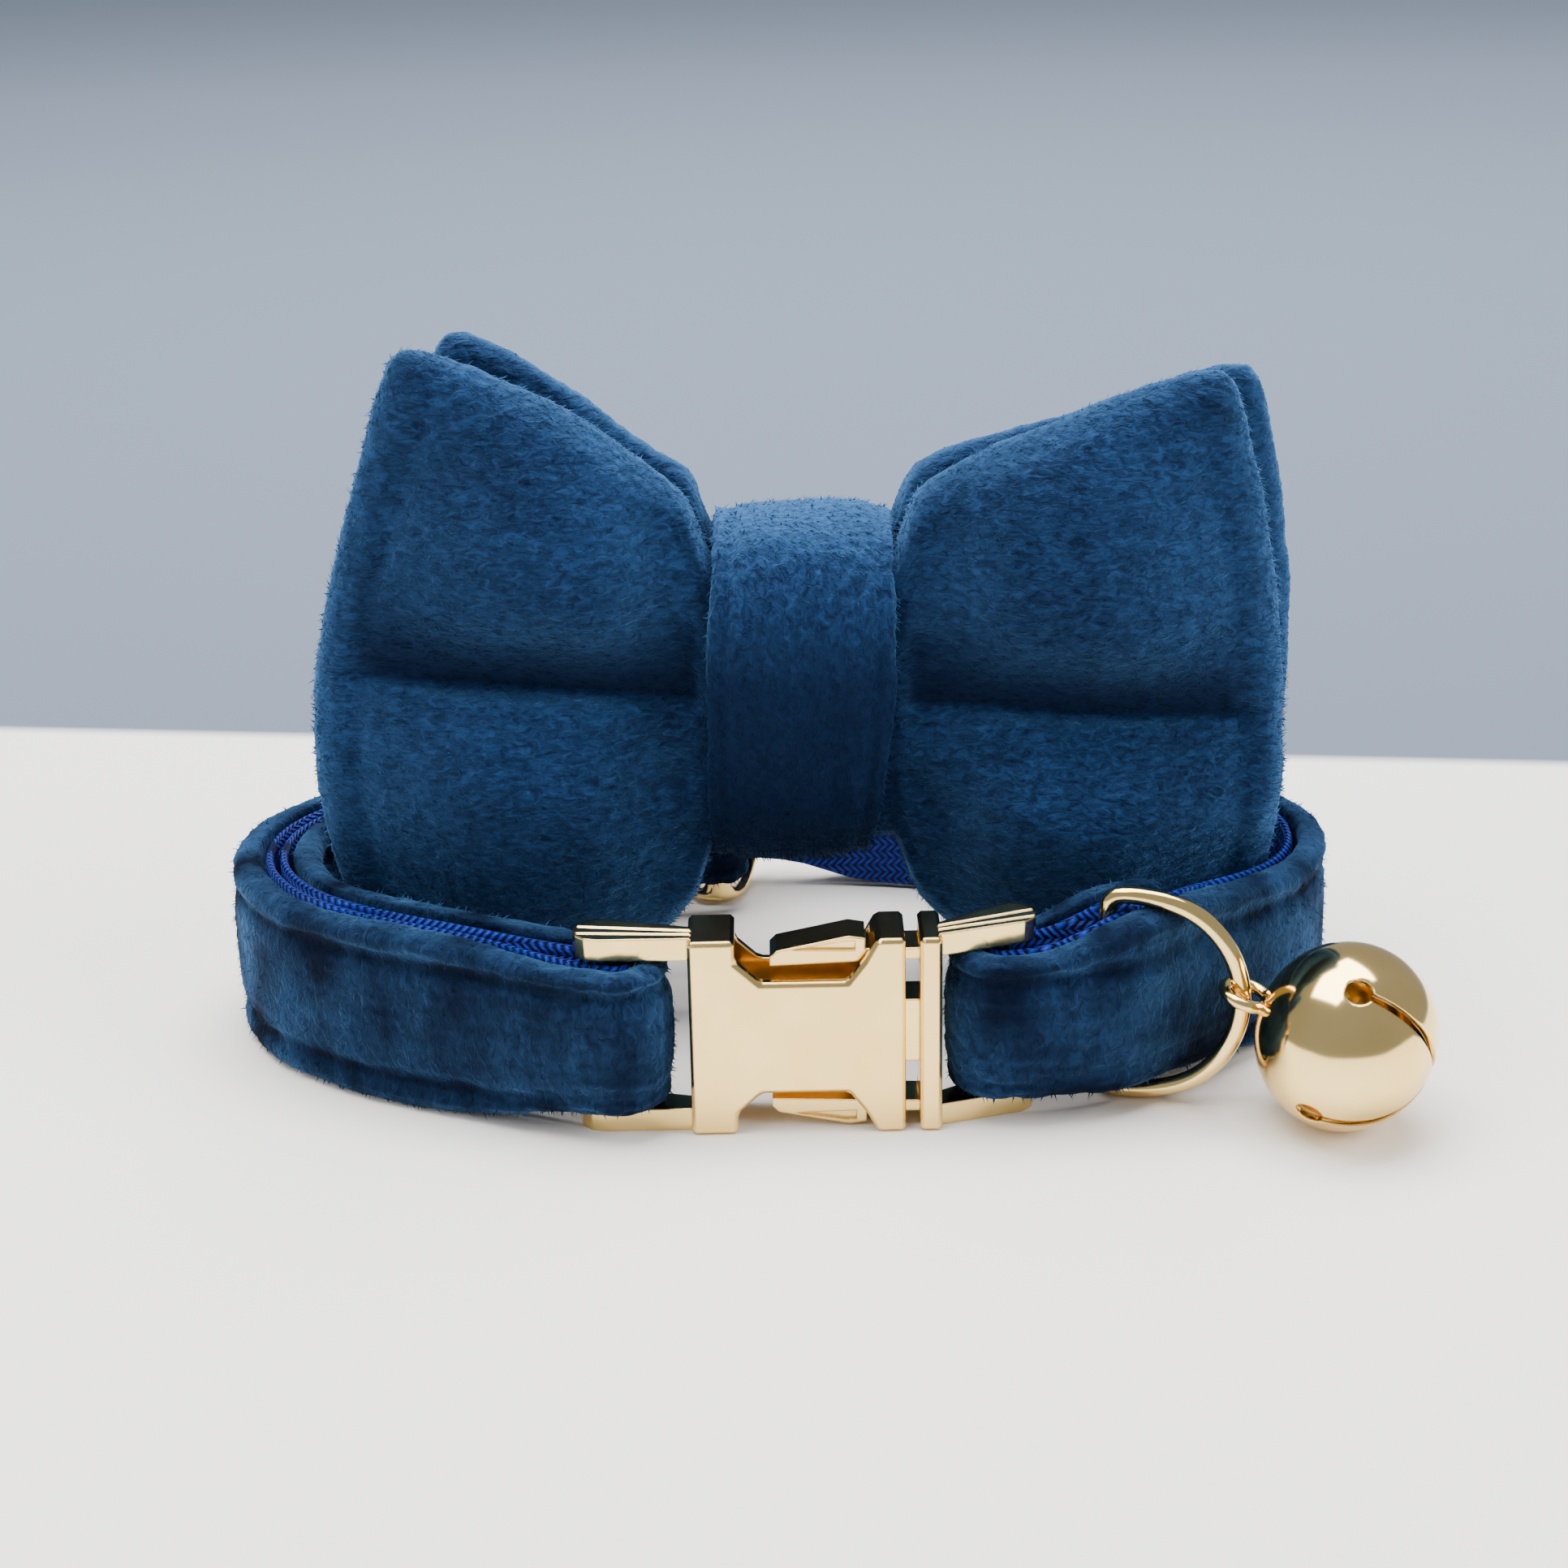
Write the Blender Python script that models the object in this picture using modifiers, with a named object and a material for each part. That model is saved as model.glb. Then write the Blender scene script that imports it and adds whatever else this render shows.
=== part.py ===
"""Velvet pet collar with a bow tie, a gold side-release buckle, a slider, a D-ring and a bell.

Metres, +Z up, +X to the right of the buckle's front, +Y away from it. The collar stands on its lower
edge as a closed loop, with the buckle in front and the bow tie standing inside the loop.
"""

import math

import bmesh
import bpy
from mathutils import Matrix, Vector

MM = 0.001

# Clearances between pieces
CLEARANCE = 0.3 * MM
CLOTH_SEAM = 0.25 * MM
RUNNING_CLEARANCE = 0.35 * MM

# Strap: velvet sewn on webbing
STRAP_HEIGHT = 17.8 * MM
WEBBING_HEIGHT = 16.4 * MM
VELVET_THICKNESS = 3.1 * MM
WEBBING_THICKNESS = 1.1 * MM
LOOP_WIDTH = 102.4 * MM
LOOP_DEPTH = 58.7 * MM
SEWN_END_LENGTH = 5.0 * MM
INNER_TAIL_LENGTH = 17.0 * MM
LOOP_LEFT_SHARE = 0.5137
STATION_SPACING = 5.0 * MM
FOLD_STEPS = 9
SEWN_SQUASH = 0.52
RING_SQUEEZE = 0.975

# Buckle
BUCKLE_HEIGHT = 19.2 * MM
BUCKLE_DEPTH = 6.8 * MM
FEMALE_WIDTH = 19.5 * MM
EAR_WIDTH = 4.2 * MM
RIGHT_EAR_WIDTH = 3.2 * MM
WINDOW_DEPTH = 4.1 * MM
WINDOW_CHAMFER = 2.2 * MM
BUCKLE_WALL = 1.1 * MM
BUCKLE_EDGE = 0.35 * MM
STRAP_SLOT = 14.9 * MM
RAIL_REACH = 10.4 * MM
RAIL_DEPTH_AT_BODY = 2.6 * MM
RAIL_DEPTH_AT_END = 4.7 * MM
RAIL_GROOVE = 0.3 * MM
RAIL_ROOT = 0.2 * MM
BAR_DIAMETER = 1.6 * MM
BAR_SETBACK = 3.0 * MM
BUCKLE_GAP = 1.3 * MM
MALE_BAR_WIDTH = 2.0 * MM
MALE_RAIL_REACH = 8.8 * MM
FEMALE_SLANT = 1.1 * MM
MALE_SLANT = 3.1 * MM
RAIL_FORWARD = 0.9 * MM
FEMALE_BAR_INSET = 0.5 * MM
FEMALE_BAR_SHIFT = -0.4 * MM
MALE_BAR_SHIFT = 1.4 * MM
TONGUE_HALF_SHARE = 0.16

# Release levers
LEVER_DEPTH = 3.9 * MM
LEVER_ARM = 1.0 * MM
LEVER_BARB = 1.25 * MM
LEVER_BARB_LENGTH = 8.6 * MM
LEVER_PIN_RADIUS = 0.7 * MM
LEVER_PIN_INSET = 0.7 * MM
LEVER_GROOVE = 0.35 * MM

# D-ring, bell and slider
RING_HEIGHT = 21.4 * MM
RING_REACH = 14.4 * MM
RING_WIRE = 1.5 * MM
RING_CORNER = 1.8 * MM
RING_FROM_BUCKLE = 9.4 * MM
RING_BACK = 2.0 * MM
TAIL_BACK = 3.4 * MM
RING_YAW = math.radians(-14.5)
BELL_DIAMETER = 17.4 * MM
BELL_LENGTH = 16.2 * MM
BELL_WALL = 0.6 * MM
BELL_SLOT = 0.9 * MM
BELL_HOLE = 2.5 * MM
BELL_SLOT_END_SHARE = 0.06
BELL_LOOP_RADIUS = 2.1 * MM
BELL_LOOP_WIRE = 1.1 * MM
PELLET_DIAMETER = 5.0 * MM
BELL_DROP = math.radians(17)
BELL_YAW = math.radians(-20)
SLIDER_HEIGHT = 20.8 * MM
SLIDER_WIDTH = 13.4 * MM
SLIDER_WIRE = 1.5 * MM

# Bow tie
BOW_WIDTH = 94.0 * MM
BOW_HEIGHT = 66.4 * MM
BOW_CENTRE_X = 1.2 * MM
BOW_CENTRE_Y = 30.4 * MM
BOW_WALL = 1.6 * MM
LAYER_SPACING = 10.2 * MM
WING_PUFF = 6.6 * MM
WING_EDGE = 2.1 * MM
WAIST_THICKNESS = 7.4 * MM
FRONT_LAYER_TURN = math.radians(2.6)
REAR_LAYER_TURN = math.radians(5.3)
REAR_TOP_SHARE = 0.90
REAR_TOP_SHIFT = 1.5 * MM
KNOT_HEIGHT = 34.8 * MM
KNOT_WIDTH = 18.0 * MM
KNOT_THICKNESS = 2.7 * MM
KNOT_CENTRE_Z = 33.4 * MM
FRONT_LAYER_RISE = 0.4 * MM
REAR_LAYER_RISE = 0.2 * MM
SLIT_WIDTH = 4.4 * MM
SLIT_HEIGHT = 16.0 * MM
ELASTIC_WIDTH = 9.0 * MM
ELASTIC_THICKNESS = 1.2 * MM
ELASTIC_REACH = 5.4 * MM
ELASTIC_HEIGHT = 21.0 * MM

# Shape of the running ply's centre line: shares of the loop's width and depth, from the left limb
# and from the front, going clockwise from the female half to the D-ring
LOOP_SHAPE = (
    # across, back
    (0.280, 0.060),
    (0.200, 0.128),
    (0.116, 0.200),
    (0.048, 0.292),
    (0.010, 0.408),
    (0.000, 0.512),
    (0.017, 0.625),
    (0.078, 0.747),
    (0.200, 0.872),
    (0.356, 0.968),
    (0.514, 1.000),
    (0.670, 0.964),
    (0.816, 0.866),
    (0.932, 0.734),
    (0.990, 0.600),
    (1.000, 0.476),
    (0.971, 0.352),
    (0.908, 0.242),
    (0.842, 0.146),
)

# Section of the velvet: share of the strap's height, and share of its thickness
VELVET_SECTION = (
    # height, thickness
    (-0.500, 0.12),
    (-0.500, 0.52),
    (-0.470, 0.84),
    (-0.415, 1.00),
    (-0.345, 0.80),
    (-0.270, 0.97),
    (0.000, 1.00),
    (0.270, 0.97),
    (0.345, 0.80),
    (0.415, 1.00),
    (0.470, 0.84),
    (0.500, 0.52),
    (0.500, 0.12),
)

# Outline of one wing's outer side: share of the half height, and share of the half width
WING_SIDE = (
    # height, reach
    (-1.00, 0.860),
    (-0.80, 0.925),
    (-0.50, 0.970),
    (-0.25, 1.000),
    (0.05, 0.995),
    (0.35, 0.945),
    (0.65, 0.875),
    (0.85, 0.820),
    (1.00, 0.805),
)

# Upper and lower edge of one wing: share of the way from the knot's edge outwards, and of the half height
WING_EDGES = (
    # outwards, height
    (0.00, 0.370),
    (0.03, 0.520),
    (0.07, 0.640),
    (0.20, 0.735),
    (0.33, 0.805),
    (0.55, 0.900),
    (0.78, 0.965),
    (1.00, 1.000),
)

WING_STATIONS = (0.0, 0.03, 0.08, 0.17, 0.28, 0.42, 0.58, 0.74, 0.89, 1.0)
WING_ROWS = (-1.0, -0.86, -0.62, -0.36, -0.14, -0.04, 0.04, 0.14, 0.36, 0.62, 0.86, 1.0)

# Places worked out from the sizes above
BUCKLE_MIDDLE = BUCKLE_HEIGHT / 2
PLY_STEP = CLOTH_SEAM / 2 + WEBBING_THICKNESS
FOLD_RADIUS = BAR_DIAMETER / 2 + CLEARANCE + PLY_STEP
PLY_SPACING = 2 * PLY_STEP + CLEARANCE
FEMALE_BAR_X = -FEMALE_WIDTH / 2 - RAIL_REACH + BAR_SETBACK + FEMALE_BAR_INSET
FEMALE_BAR = Vector((FEMALE_BAR_X, BUCKLE_DEPTH / 2 + FEMALE_BAR_SHIFT, 0))
MALE_BODY_X = FEMALE_WIDTH / 2 + BUCKLE_GAP
MALE_BAR_X = MALE_BODY_X + MALE_BAR_WIDTH + MALE_RAIL_REACH - BAR_SETBACK
MALE_BAR = Vector((MALE_BAR_X, BUCKLE_DEPTH / 2 + MALE_BAR_SHIFT, 0))
RING_BAR = Vector((MALE_BAR.x + RING_FROM_BUCKLE, MALE_BAR.y + RING_BACK, 0))
SLIDER_SHARE = 0.475


def smooth_step(share):
    share = min(max(share, 0.0), 1.0)
    return share * share * (3 - 2 * share)


def table_value(table, key):
    """Straight-line reading of a two-column table whose first column rises."""
    for (low, first), (high, second) in zip(table, table[1:]):
        if key <= high:
            return first + (second - first) * max(0.0, (key - low) / (high - low))
    return table[-1][1]


def spline(points, steps):
    """Catmull-Rom curve through 2-D points."""
    ends = [2 * points[0] - points[1], *points, 2 * points[-1] - points[-2]]
    curve = []
    for i in range(1, len(ends) - 2):
        before, start, end, after = ends[i - 1 : i + 3]
        for step in range(steps):
            t = step / steps
            curve.append(
                0.5 * (
                    2 * start
                    + (end - before) * t
                    + (2 * before - 5 * start + 4 * end - after) * t**2
                    + (3 * start - before - 3 * end + after) * t**3
                )
            )
    curve.append(points[-1].copy())
    return curve


def resampled(points, spacing):
    """The same polyline with its points about one spacing apart."""
    length = sum((b - a).length for a, b in zip(points, points[1:]))
    count = max(2, round(length / spacing))
    out = [points[0].copy()]
    walked, target = 0.0, length / count
    for a, b in zip(points, points[1:]):
        step = (b - a).length
        while walked + step >= target - 1e-9 and len(out) < count:
            out.append(a.lerp(b, (target - walked) / step))
            target += length / count
        walked += step
    out.append(points[-1].copy())
    return out


def directions(points):
    tangents = []
    for i in range(len(points)):
        ahead = points[min(i + 1, len(points) - 1)]
        behind = points[max(i - 1, 0)]
        tangents.append((ahead - behind).normalized())
    return tangents


def left_of(direction):
    return Vector((-direction.y, direction.x))


def collection_named(name):
    found = bpy.data.collections.new(name)
    bpy.context.scene.collection.children.link(found)
    return found


def clear_scene():
    for item in list(bpy.data.objects):
        bpy.data.objects.remove(item, do_unlink=True)


def material_named(name, colour, metallic, roughness):
    material = bpy.data.materials.new(name)
    material.use_nodes = True
    shader = material.node_tree.nodes["Principled BSDF"]
    shader.inputs["Base Color"].default_value = (*colour, 1)
    shader.inputs["Metallic"].default_value = metallic
    shader.inputs["Roughness"].default_value = roughness
    material.diffuse_color = (*colour, 1)
    return material


def object_from(name, mesh, group, material=None, smooth_angle=None):
    made = bpy.data.objects.new(name, mesh)
    group.objects.link(made)
    if material:
        mesh.materials.append(material)
    if smooth_angle is not None:
        mesh.shade_smooth()
        mesh.set_sharp_from_angle(angle=smooth_angle)
    return made


def mesh_from_bmesh(name, shape):
    bmesh.ops.recalc_face_normals(shape, faces=shape.faces[:])
    mesh = bpy.data.meshes.new(name)
    shape.to_mesh(mesh)
    shape.free()
    return mesh


def loft(name, rings, closed=False):
    """Skin over rings of points with equal counts. An open loft gets a cap at each end."""
    shape = bmesh.new()
    rows = [[shape.verts.new(point) for point in ring] for ring in rings]
    count = len(rings[0])
    pairs = list(zip(rows, rows[1:]))
    if closed:
        pairs.append((rows[-1], rows[0]))
    for first, second in pairs:
        for i in range(count):
            j = (i + 1) % count
            shape.faces.new((first[i], first[j], second[j], second[i]))
    if not closed:
        shape.faces.new(rows[0][::-1])
        shape.faces.new(rows[-1])
    bmesh.ops.triangulate(shape, faces=shape.faces[:])
    return mesh_from_bmesh(name, shape)


def box_mesh(name, low, high):
    shape = bmesh.new()
    bmesh.ops.create_cube(shape, size=1)
    low, high = Vector(low), Vector(high)
    size = high - low
    for vert in shape.verts:
        vert.co = Vector(vert.co[i] * size[i] for i in range(3)) + (low + high) / 2
    return mesh_from_bmesh(name, shape)


def prism_mesh(name, outline, front, back):
    """A flat outline in X and Z, carried from the front Y to the back Y."""
    shape = bmesh.new()
    face = shape.faces.new([shape.verts.new((x, front, z)) for x, z in outline])
    grown = bmesh.ops.extrude_face_region(shape, geom=[face])
    moved = [item for item in grown["geom"] if isinstance(item, bmesh.types.BMVert)]
    bmesh.ops.translate(shape, verts=moved, vec=(0, back - front, 0))
    return mesh_from_bmesh(name, shape)


def plan_prism_mesh(name, outline, bottom, top):
    """A flat outline in X and Y, carried from the bottom to the top."""
    shape = bmesh.new()
    face = shape.faces.new([shape.verts.new((x, y, bottom)) for x, y in outline])
    grown = bmesh.ops.extrude_face_region(shape, geom=[face])
    moved = [item for item in grown["geom"] if isinstance(item, bmesh.types.BMVert)]
    bmesh.ops.translate(shape, verts=moved, vec=(0, 0, top - bottom))
    return mesh_from_bmesh(name, shape)


def cylinder_mesh(name, radius, start, end, sides=16):
    shape = bmesh.new()
    start, end = Vector(start), Vector(end)
    axis = end - start
    turn = Vector((0, 0, 1)).rotation_difference(axis).to_matrix().to_4x4()
    bmesh.ops.create_cone(
        shape, cap_ends=True, segments=sides, radius1=radius, radius2=radius, depth=axis.length,
        matrix=Matrix.Translation((start + end) / 2) @ turn,
    )
    return mesh_from_bmesh(name, shape)


def tube_mesh(name, points, radius, closed, sides_level=1):
    """A round wire along points, as a curve object made into a mesh."""
    curve = bpy.data.curves.new(name + "_curve", "CURVE")
    curve.dimensions = "3D"
    curve.bevel_depth = radius
    curve.bevel_resolution = sides_level
    curve.use_fill_caps = True
    line = curve.splines.new("POLY")
    line.points.add(len(points) - 1)
    for target, point in zip(line.points, points):
        target.co = (*point, 1)
    line.use_cyclic_u = closed
    guide = bpy.data.objects.new(name + "_guide", curve)
    bpy.context.scene.collection.objects.link(guide)
    bpy.context.view_layer.update()
    graph = bpy.context.evaluated_depsgraph_get()
    mesh = bpy.data.meshes.new_from_object(guide.evaluated_get(graph))
    bpy.data.objects.remove(guide, do_unlink=True)
    shape = bmesh.new()
    shape.from_mesh(mesh)
    bpy.data.meshes.remove(mesh)
    bmesh.ops.remove_doubles(shape, verts=shape.verts[:], dist=1e-6)
    return mesh_from_bmesh(name, shape)


def combine(target, other_mesh, operation, helpers, solver="EXACT"):
    """A Boolean modifier on target with a hidden helper made from other_mesh."""
    helper = object_from(f"{target.name}_{operation.lower()}_{len(helpers.objects)}", other_mesh, helpers)
    helper.hide_render = True
    helper.display_type = "WIRE"
    modifier = target.modifiers.new(helper.name, "BOOLEAN")
    modifier.operation = operation
    modifier.solver = solver
    modifier.object = helper
    return helper


def soften(target, width, segments=1):
    bevel = target.modifiers.new("Edges", "BEVEL")
    bevel.width = width
    bevel.segments = segments
    bevel.limit_method = "ANGLE"
    bevel.angle_limit = math.radians(40)


# Route of the strap

def running_route():
    """Centre line of the running ply, from the female half's fold round to the male half's fold."""
    left = -LOOP_WIDTH * LOOP_LEFT_SHARE
    points = [Vector((FEMALE_BAR.x, FEMALE_BAR.y - FOLD_RADIUS))]
    points += [Vector((left + LOOP_WIDTH * across, LOOP_DEPTH * back)) for across, back in LOOP_SHAPE]
    points.append(Vector((RING_BAR.x, RING_BAR.y - ring_spacing())))
    points.append(Vector((MALE_BAR.x, MALE_BAR.y - FOLD_RADIUS)))
    return resampled(spline(points, 12), STATION_SPACING)


def ring_spacing():
    return RING_WIRE / 2 + 2.4 * CLEARANCE + PLY_STEP


def offset_inwards(route, spacings):
    tangents = directions(route)
    return [point - left_of(way) * gap for point, way, gap in zip(route, tangents, spacings)]


def slider_station(route):
    return round(SLIDER_SHARE * (len(route) - 1))


def sewn_return_spacing():
    return PLY_STEP + CLEARANCE + CLOTH_SEAM / 2 + VELVET_THICKNESS * SEWN_SQUASH


def slider_fold_radius():
    return SLIDER_WIRE / 2 + CLEARANCE + PLY_STEP * SEWN_SQUASH


def slider_bar_spacing():
    return sewn_return_spacing() + slider_fold_radius()


def half_turn(centre, start, steps):
    """Points on a clockwise half circle about centre from start, without its two ends."""
    arm = start - centre
    turned = []
    for step in range(1, steps):
        angle = -math.pi * step / steps
        turned.append(centre + Vector((
            arm.x * math.cos(angle) - arm.y * math.sin(angle),
            arm.x * math.sin(angle) + arm.y * math.cos(angle),
        )))
    return turned


def strap_route():
    """Centre line of the whole strap, from the sewn end at the slider to the tail past the D-ring."""
    running = running_route()
    station = slider_station(running)
    count = station + 1
    spacings = []
    for i in range(count):
        from_buckle = STATION_SPACING * i
        from_slider = STATION_SPACING * (station - i)
        near_buckle = 1 - smooth_step((from_buckle - 2 * MM) / (14 * MM))
        near_slider = 1 - smooth_step((from_slider - SEWN_END_LENGTH - 1 * MM) / (12 * MM))
        spacing = PLY_SPACING + (2 * FOLD_RADIUS - PLY_SPACING) * near_buckle
        spacing += (sewn_return_spacing() + 2 * slider_fold_radius() - PLY_SPACING) * near_slider
        spacings.append(spacing)
    inner_left = offset_inwards(running, spacings)[:count]

    way = directions(running)[station]
    inwards = -left_of(way)
    bar = running[station] + inwards * slider_bar_spacing()
    leg_start = bar - inwards * slider_fold_radius()
    leg_end = leg_start - way * SEWN_END_LENGTH
    sewn_leg = [leg_end, leg_start]
    sewn_turn = half_turn(bar, leg_start, 6)

    female_centre = Vector(FEMALE_BAR.xy)
    female_turn = half_turn(female_centre, female_centre + Vector((0, FOLD_RADIUS)), FOLD_STEPS)
    male_centre = Vector(MALE_BAR.xy)
    male_turn = half_turn(male_centre, male_centre - Vector((0, FOLD_RADIUS)), FOLD_STEPS)

    inner_left[0] = female_centre + Vector((0, FOLD_RADIUS))
    route = sewn_leg + sewn_turn + inner_left[::-1] + female_turn + running + male_turn
    route.append(male_centre + Vector((0, FOLD_RADIUS)))
    towards_ring = Vector((RING_BAR.x - MALE_BAR.x, RING_BAR.y - MALE_BAR.y))
    route.append(male_centre + towards_ring * 0.5 + Vector((0, (FOLD_RADIUS + ring_spacing()) / 2)))
    route.append(Vector(RING_BAR.xy) + Vector((-0.1, 1)) * ring_spacing())
    tail = Vector(RING_BAR.xy) + Vector((
        INNER_TAIL_LENGTH - RING_FROM_BUCKLE, TAIL_BACK + ring_spacing()
    ))
    route.append(route[-1].lerp(tail, 0.5) - Vector((0, 0.3 * MM)))
    route.append(tail)
    return route


def landmarks():
    """Where metal squeezes or lifts the strap: place, full reach, fading reach, height, thickness, lift."""
    running = running_route()
    station = slider_station(running)
    inwards = -left_of(directions(running)[station])
    slider = running[station] + inwards * slider_bar_spacing()
    slot_share = (STRAP_SLOT - 2 * CLEARANCE) / STRAP_HEIGHT
    slider_share = (SLIDER_HEIGHT - 2 * SLIDER_WIRE - 3.2 * MM) / STRAP_HEIGHT
    buckle_lift = BUCKLE_MIDDLE - STRAP_HEIGHT / 2
    return (
        # place, full reach, fading reach, height, thickness, lift
        (Vector(RING_BAR.xy), 6.0 * MM, 24.0 * MM, RING_SQUEEZE, 1.0, RING_HEIGHT / 2 - STRAP_HEIGHT / 2),
        (Vector(FEMALE_BAR.xy), 6.4 * MM, 12.0 * MM, slot_share, 1.0, buckle_lift),
        (Vector(MALE_BAR.xy), 6.2 * MM, 9.2 * MM, slot_share, 1.0, buckle_lift),
        (slider, 8.6 * MM, 17.0 * MM, slider_share, 1.0, SLIDER_HEIGHT / 2 - STRAP_HEIGHT / 2),
        (slider, 4.4 * MM, 12.0 * MM, slider_share, SEWN_SQUASH, SLIDER_HEIGHT / 2 - STRAP_HEIGHT / 2),
    )


def squeeze_at(point, marks):
    height, thickness, lift = 1.0, 1.0, 0.0
    for place, full, fading, mark_height, mark_thickness, mark_lift in marks:
        weight = 1 - smooth_step(((point - place).length - full) / (fading - full))
        height = min(height, 1 + (mark_height - 1) * weight)
        thickness = min(thickness, 1 + (mark_thickness - 1) * weight)
        lift += (mark_lift - lift) * weight
    return height, thickness, lift


def velvet_ring(point, side, squeeze):
    height, thickness, lift = squeeze
    middle = STRAP_HEIGHT / 2 + lift
    ring = []
    for z_share, depth_share in VELVET_SECTION:
        out = CLOTH_SEAM / 2 + VELVET_THICKNESS * thickness * depth_share
        ring.append((point.x + side.x * out, point.y + side.y * out, middle + STRAP_HEIGHT * height * z_share))
    back = CLOTH_SEAM / 2
    for end in (0.47, -0.47):
        ring.append((point.x + side.x * back, point.y + side.y * back, middle + STRAP_HEIGHT * height * end))
    return ring


def webbing_ring(point, side, squeeze):
    height, thickness, lift = squeeze
    middle = STRAP_HEIGHT / 2 + lift
    half = WEBBING_HEIGHT * height / 2
    near = -CLOTH_SEAM / 2
    far = near - WEBBING_THICKNESS * thickness
    edge = 0.3 * WEBBING_THICKNESS
    section = ((near, -half), (near, half), (near - edge, half + edge), (far + edge, half + edge))
    section += ((far, half), (far, -half), (far + edge, -half - edge), (near - edge, -half - edge))
    return [(point.x + side.x * out, point.y + side.y * out, middle + z) for out, z in section]


def build_strap(parts, velvet, webbing):
    route = strap_route()
    sides = [left_of(way) for way in directions(route)]
    marks = landmarks()
    squeezes = [squeeze_at(point, marks) for point in route]
    for name, ring, material in (
        ("strap_velvet", velvet_ring, velvet), ("strap_webbing", webbing_ring, webbing)
    ):
        rings = [ring(point, side, squeeze) for point, side, squeeze in zip(route, sides, squeezes)]
        object_from(name, loft(name, rings), parts, material, math.radians(50))


# Buckle

def female_outline():
    left, right = -FEMALE_WIDTH / 2, FEMALE_WIDTH / 2
    window_left, window_right = left + EAR_WIDTH, right - RIGHT_EAR_WIDTH
    upper = (
        (window_right + WINDOW_CHAMFER * 0.3, BUCKLE_HEIGHT),
        (window_right - WINDOW_CHAMFER * 0.2, BUCKLE_HEIGHT - WINDOW_DEPTH * 0.5),
        (window_right - WINDOW_CHAMFER * 0.9, BUCKLE_HEIGHT - WINDOW_DEPTH),
        (window_left + WINDOW_CHAMFER, BUCKLE_HEIGHT - WINDOW_DEPTH),
        (window_left, BUCKLE_HEIGHT - WINDOW_DEPTH * 0.5),
        (window_left, BUCKLE_HEIGHT),
    )
    lower = tuple((x, BUCKLE_HEIGHT - z) for x, z in reversed(upper))
    return ((left, 0), *lower, (right, 0), (right, BUCKLE_HEIGHT), *upper, (left, BUCKLE_HEIGHT))


def rail_outline(inner_x, outer_x, slant):
    """Plan of a strap rail: narrow at the body, wide with a rounded end at its tip."""
    way = 1 if outer_x > inner_x else -1
    middle = BUCKLE_DEPTH / 2 - RAIL_FORWARD
    tip = middle + slant
    body_half, end_half = RAIL_DEPTH_AT_BODY / 2, RAIL_DEPTH_AT_END / 2
    start = inner_x - way * RAIL_ROOT
    points = [(start, middle - body_half), (outer_x - way * end_half, tip - end_half)]
    for step in range(1, 6):
        angle = math.pi * (step / 6 - 0.5)
        points.append((outer_x - way * end_half * (1 - math.cos(angle)), tip + end_half * math.sin(angle)))
    points += [(outer_x - way * end_half, tip + end_half), (start, middle + body_half)]
    return points if way > 0 else points[::-1]


def add_strap_frame(target, inner_x, outer_x, slant, bar, helpers):
    """Two rails, one above and one below the strap, and the bar that the strap folds round."""
    rail = (BUCKLE_HEIGHT - STRAP_SLOT) / 2
    outline = rail_outline(inner_x, outer_x, slant)
    for bottom in (0, BUCKLE_HEIGHT - rail):
        combine(target, plan_prism_mesh("rail", outline, bottom, bottom + rail), "UNION", helpers)
    low, high = (bar.x, bar.y, rail / 2), (bar.x, bar.y, BUCKLE_HEIGHT - rail / 2)
    combine(target, cylinder_mesh("bar", BAR_DIAMETER / 2, low, high, 12), "UNION", helpers)
    groove_start = min(inner_x, outer_x - 0.6 * MM * (1 if outer_x > inner_x else -1))
    groove_end = max(inner_x, outer_x)
    for share in (0.34, 0.66):
        points = []
        for x in (groove_start - 0.2 * MM, groove_end + 0.2 * MM):
            along = abs(x - inner_x) / abs(outer_x - inner_x)
            depth = RAIL_DEPTH_AT_BODY + (RAIL_DEPTH_AT_END - RAIL_DEPTH_AT_BODY) * along
            front = BUCKLE_DEPTH / 2 - RAIL_FORWARD + slant * along - depth / 2
            points.append((x, front + depth * share, BUCKLE_HEIGHT + RAIL_GROOVE * 0.2))
        combine(target, tube_mesh("groove", points, RAIL_GROOVE, False, 0), "DIFFERENCE", helpers)


def build_female(parts, gold, helpers):
    plate = prism_mesh("female_buckle", female_outline(), 0, BUCKLE_DEPTH)
    shell = object_from("female_buckle", plate, parts, gold)
    soften(shell, BUCKLE_EDGE)
    channel_left = -FEMALE_WIDTH / 2 + EAR_WIDTH - CLEARANCE
    low = (channel_left, BUCKLE_WALL, BUCKLE_WALL)
    high = (FEMALE_WIDTH, BUCKLE_DEPTH - BUCKLE_WALL, BUCKLE_HEIGHT - BUCKLE_WALL)
    combine(shell, box_mesh("channel", low, high), "DIFFERENCE", helpers)
    inner_x = -FEMALE_WIDTH / 2
    add_strap_frame(shell, inner_x, inner_x - RAIL_REACH, FEMALE_SLANT, FEMALE_BAR, helpers)
    shell.data.shade_flat()


def lever_pivot(upper):
    arm_middle = BUCKLE_HEIGHT - BUCKLE_WALL - RUNNING_CLEARANCE - LEVER_ARM / 2
    x = MALE_BODY_X + LEVER_PIN_INSET
    return Vector((x, BUCKLE_DEPTH / 2, arm_middle if upper else BUCKLE_HEIGHT - arm_middle))


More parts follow.
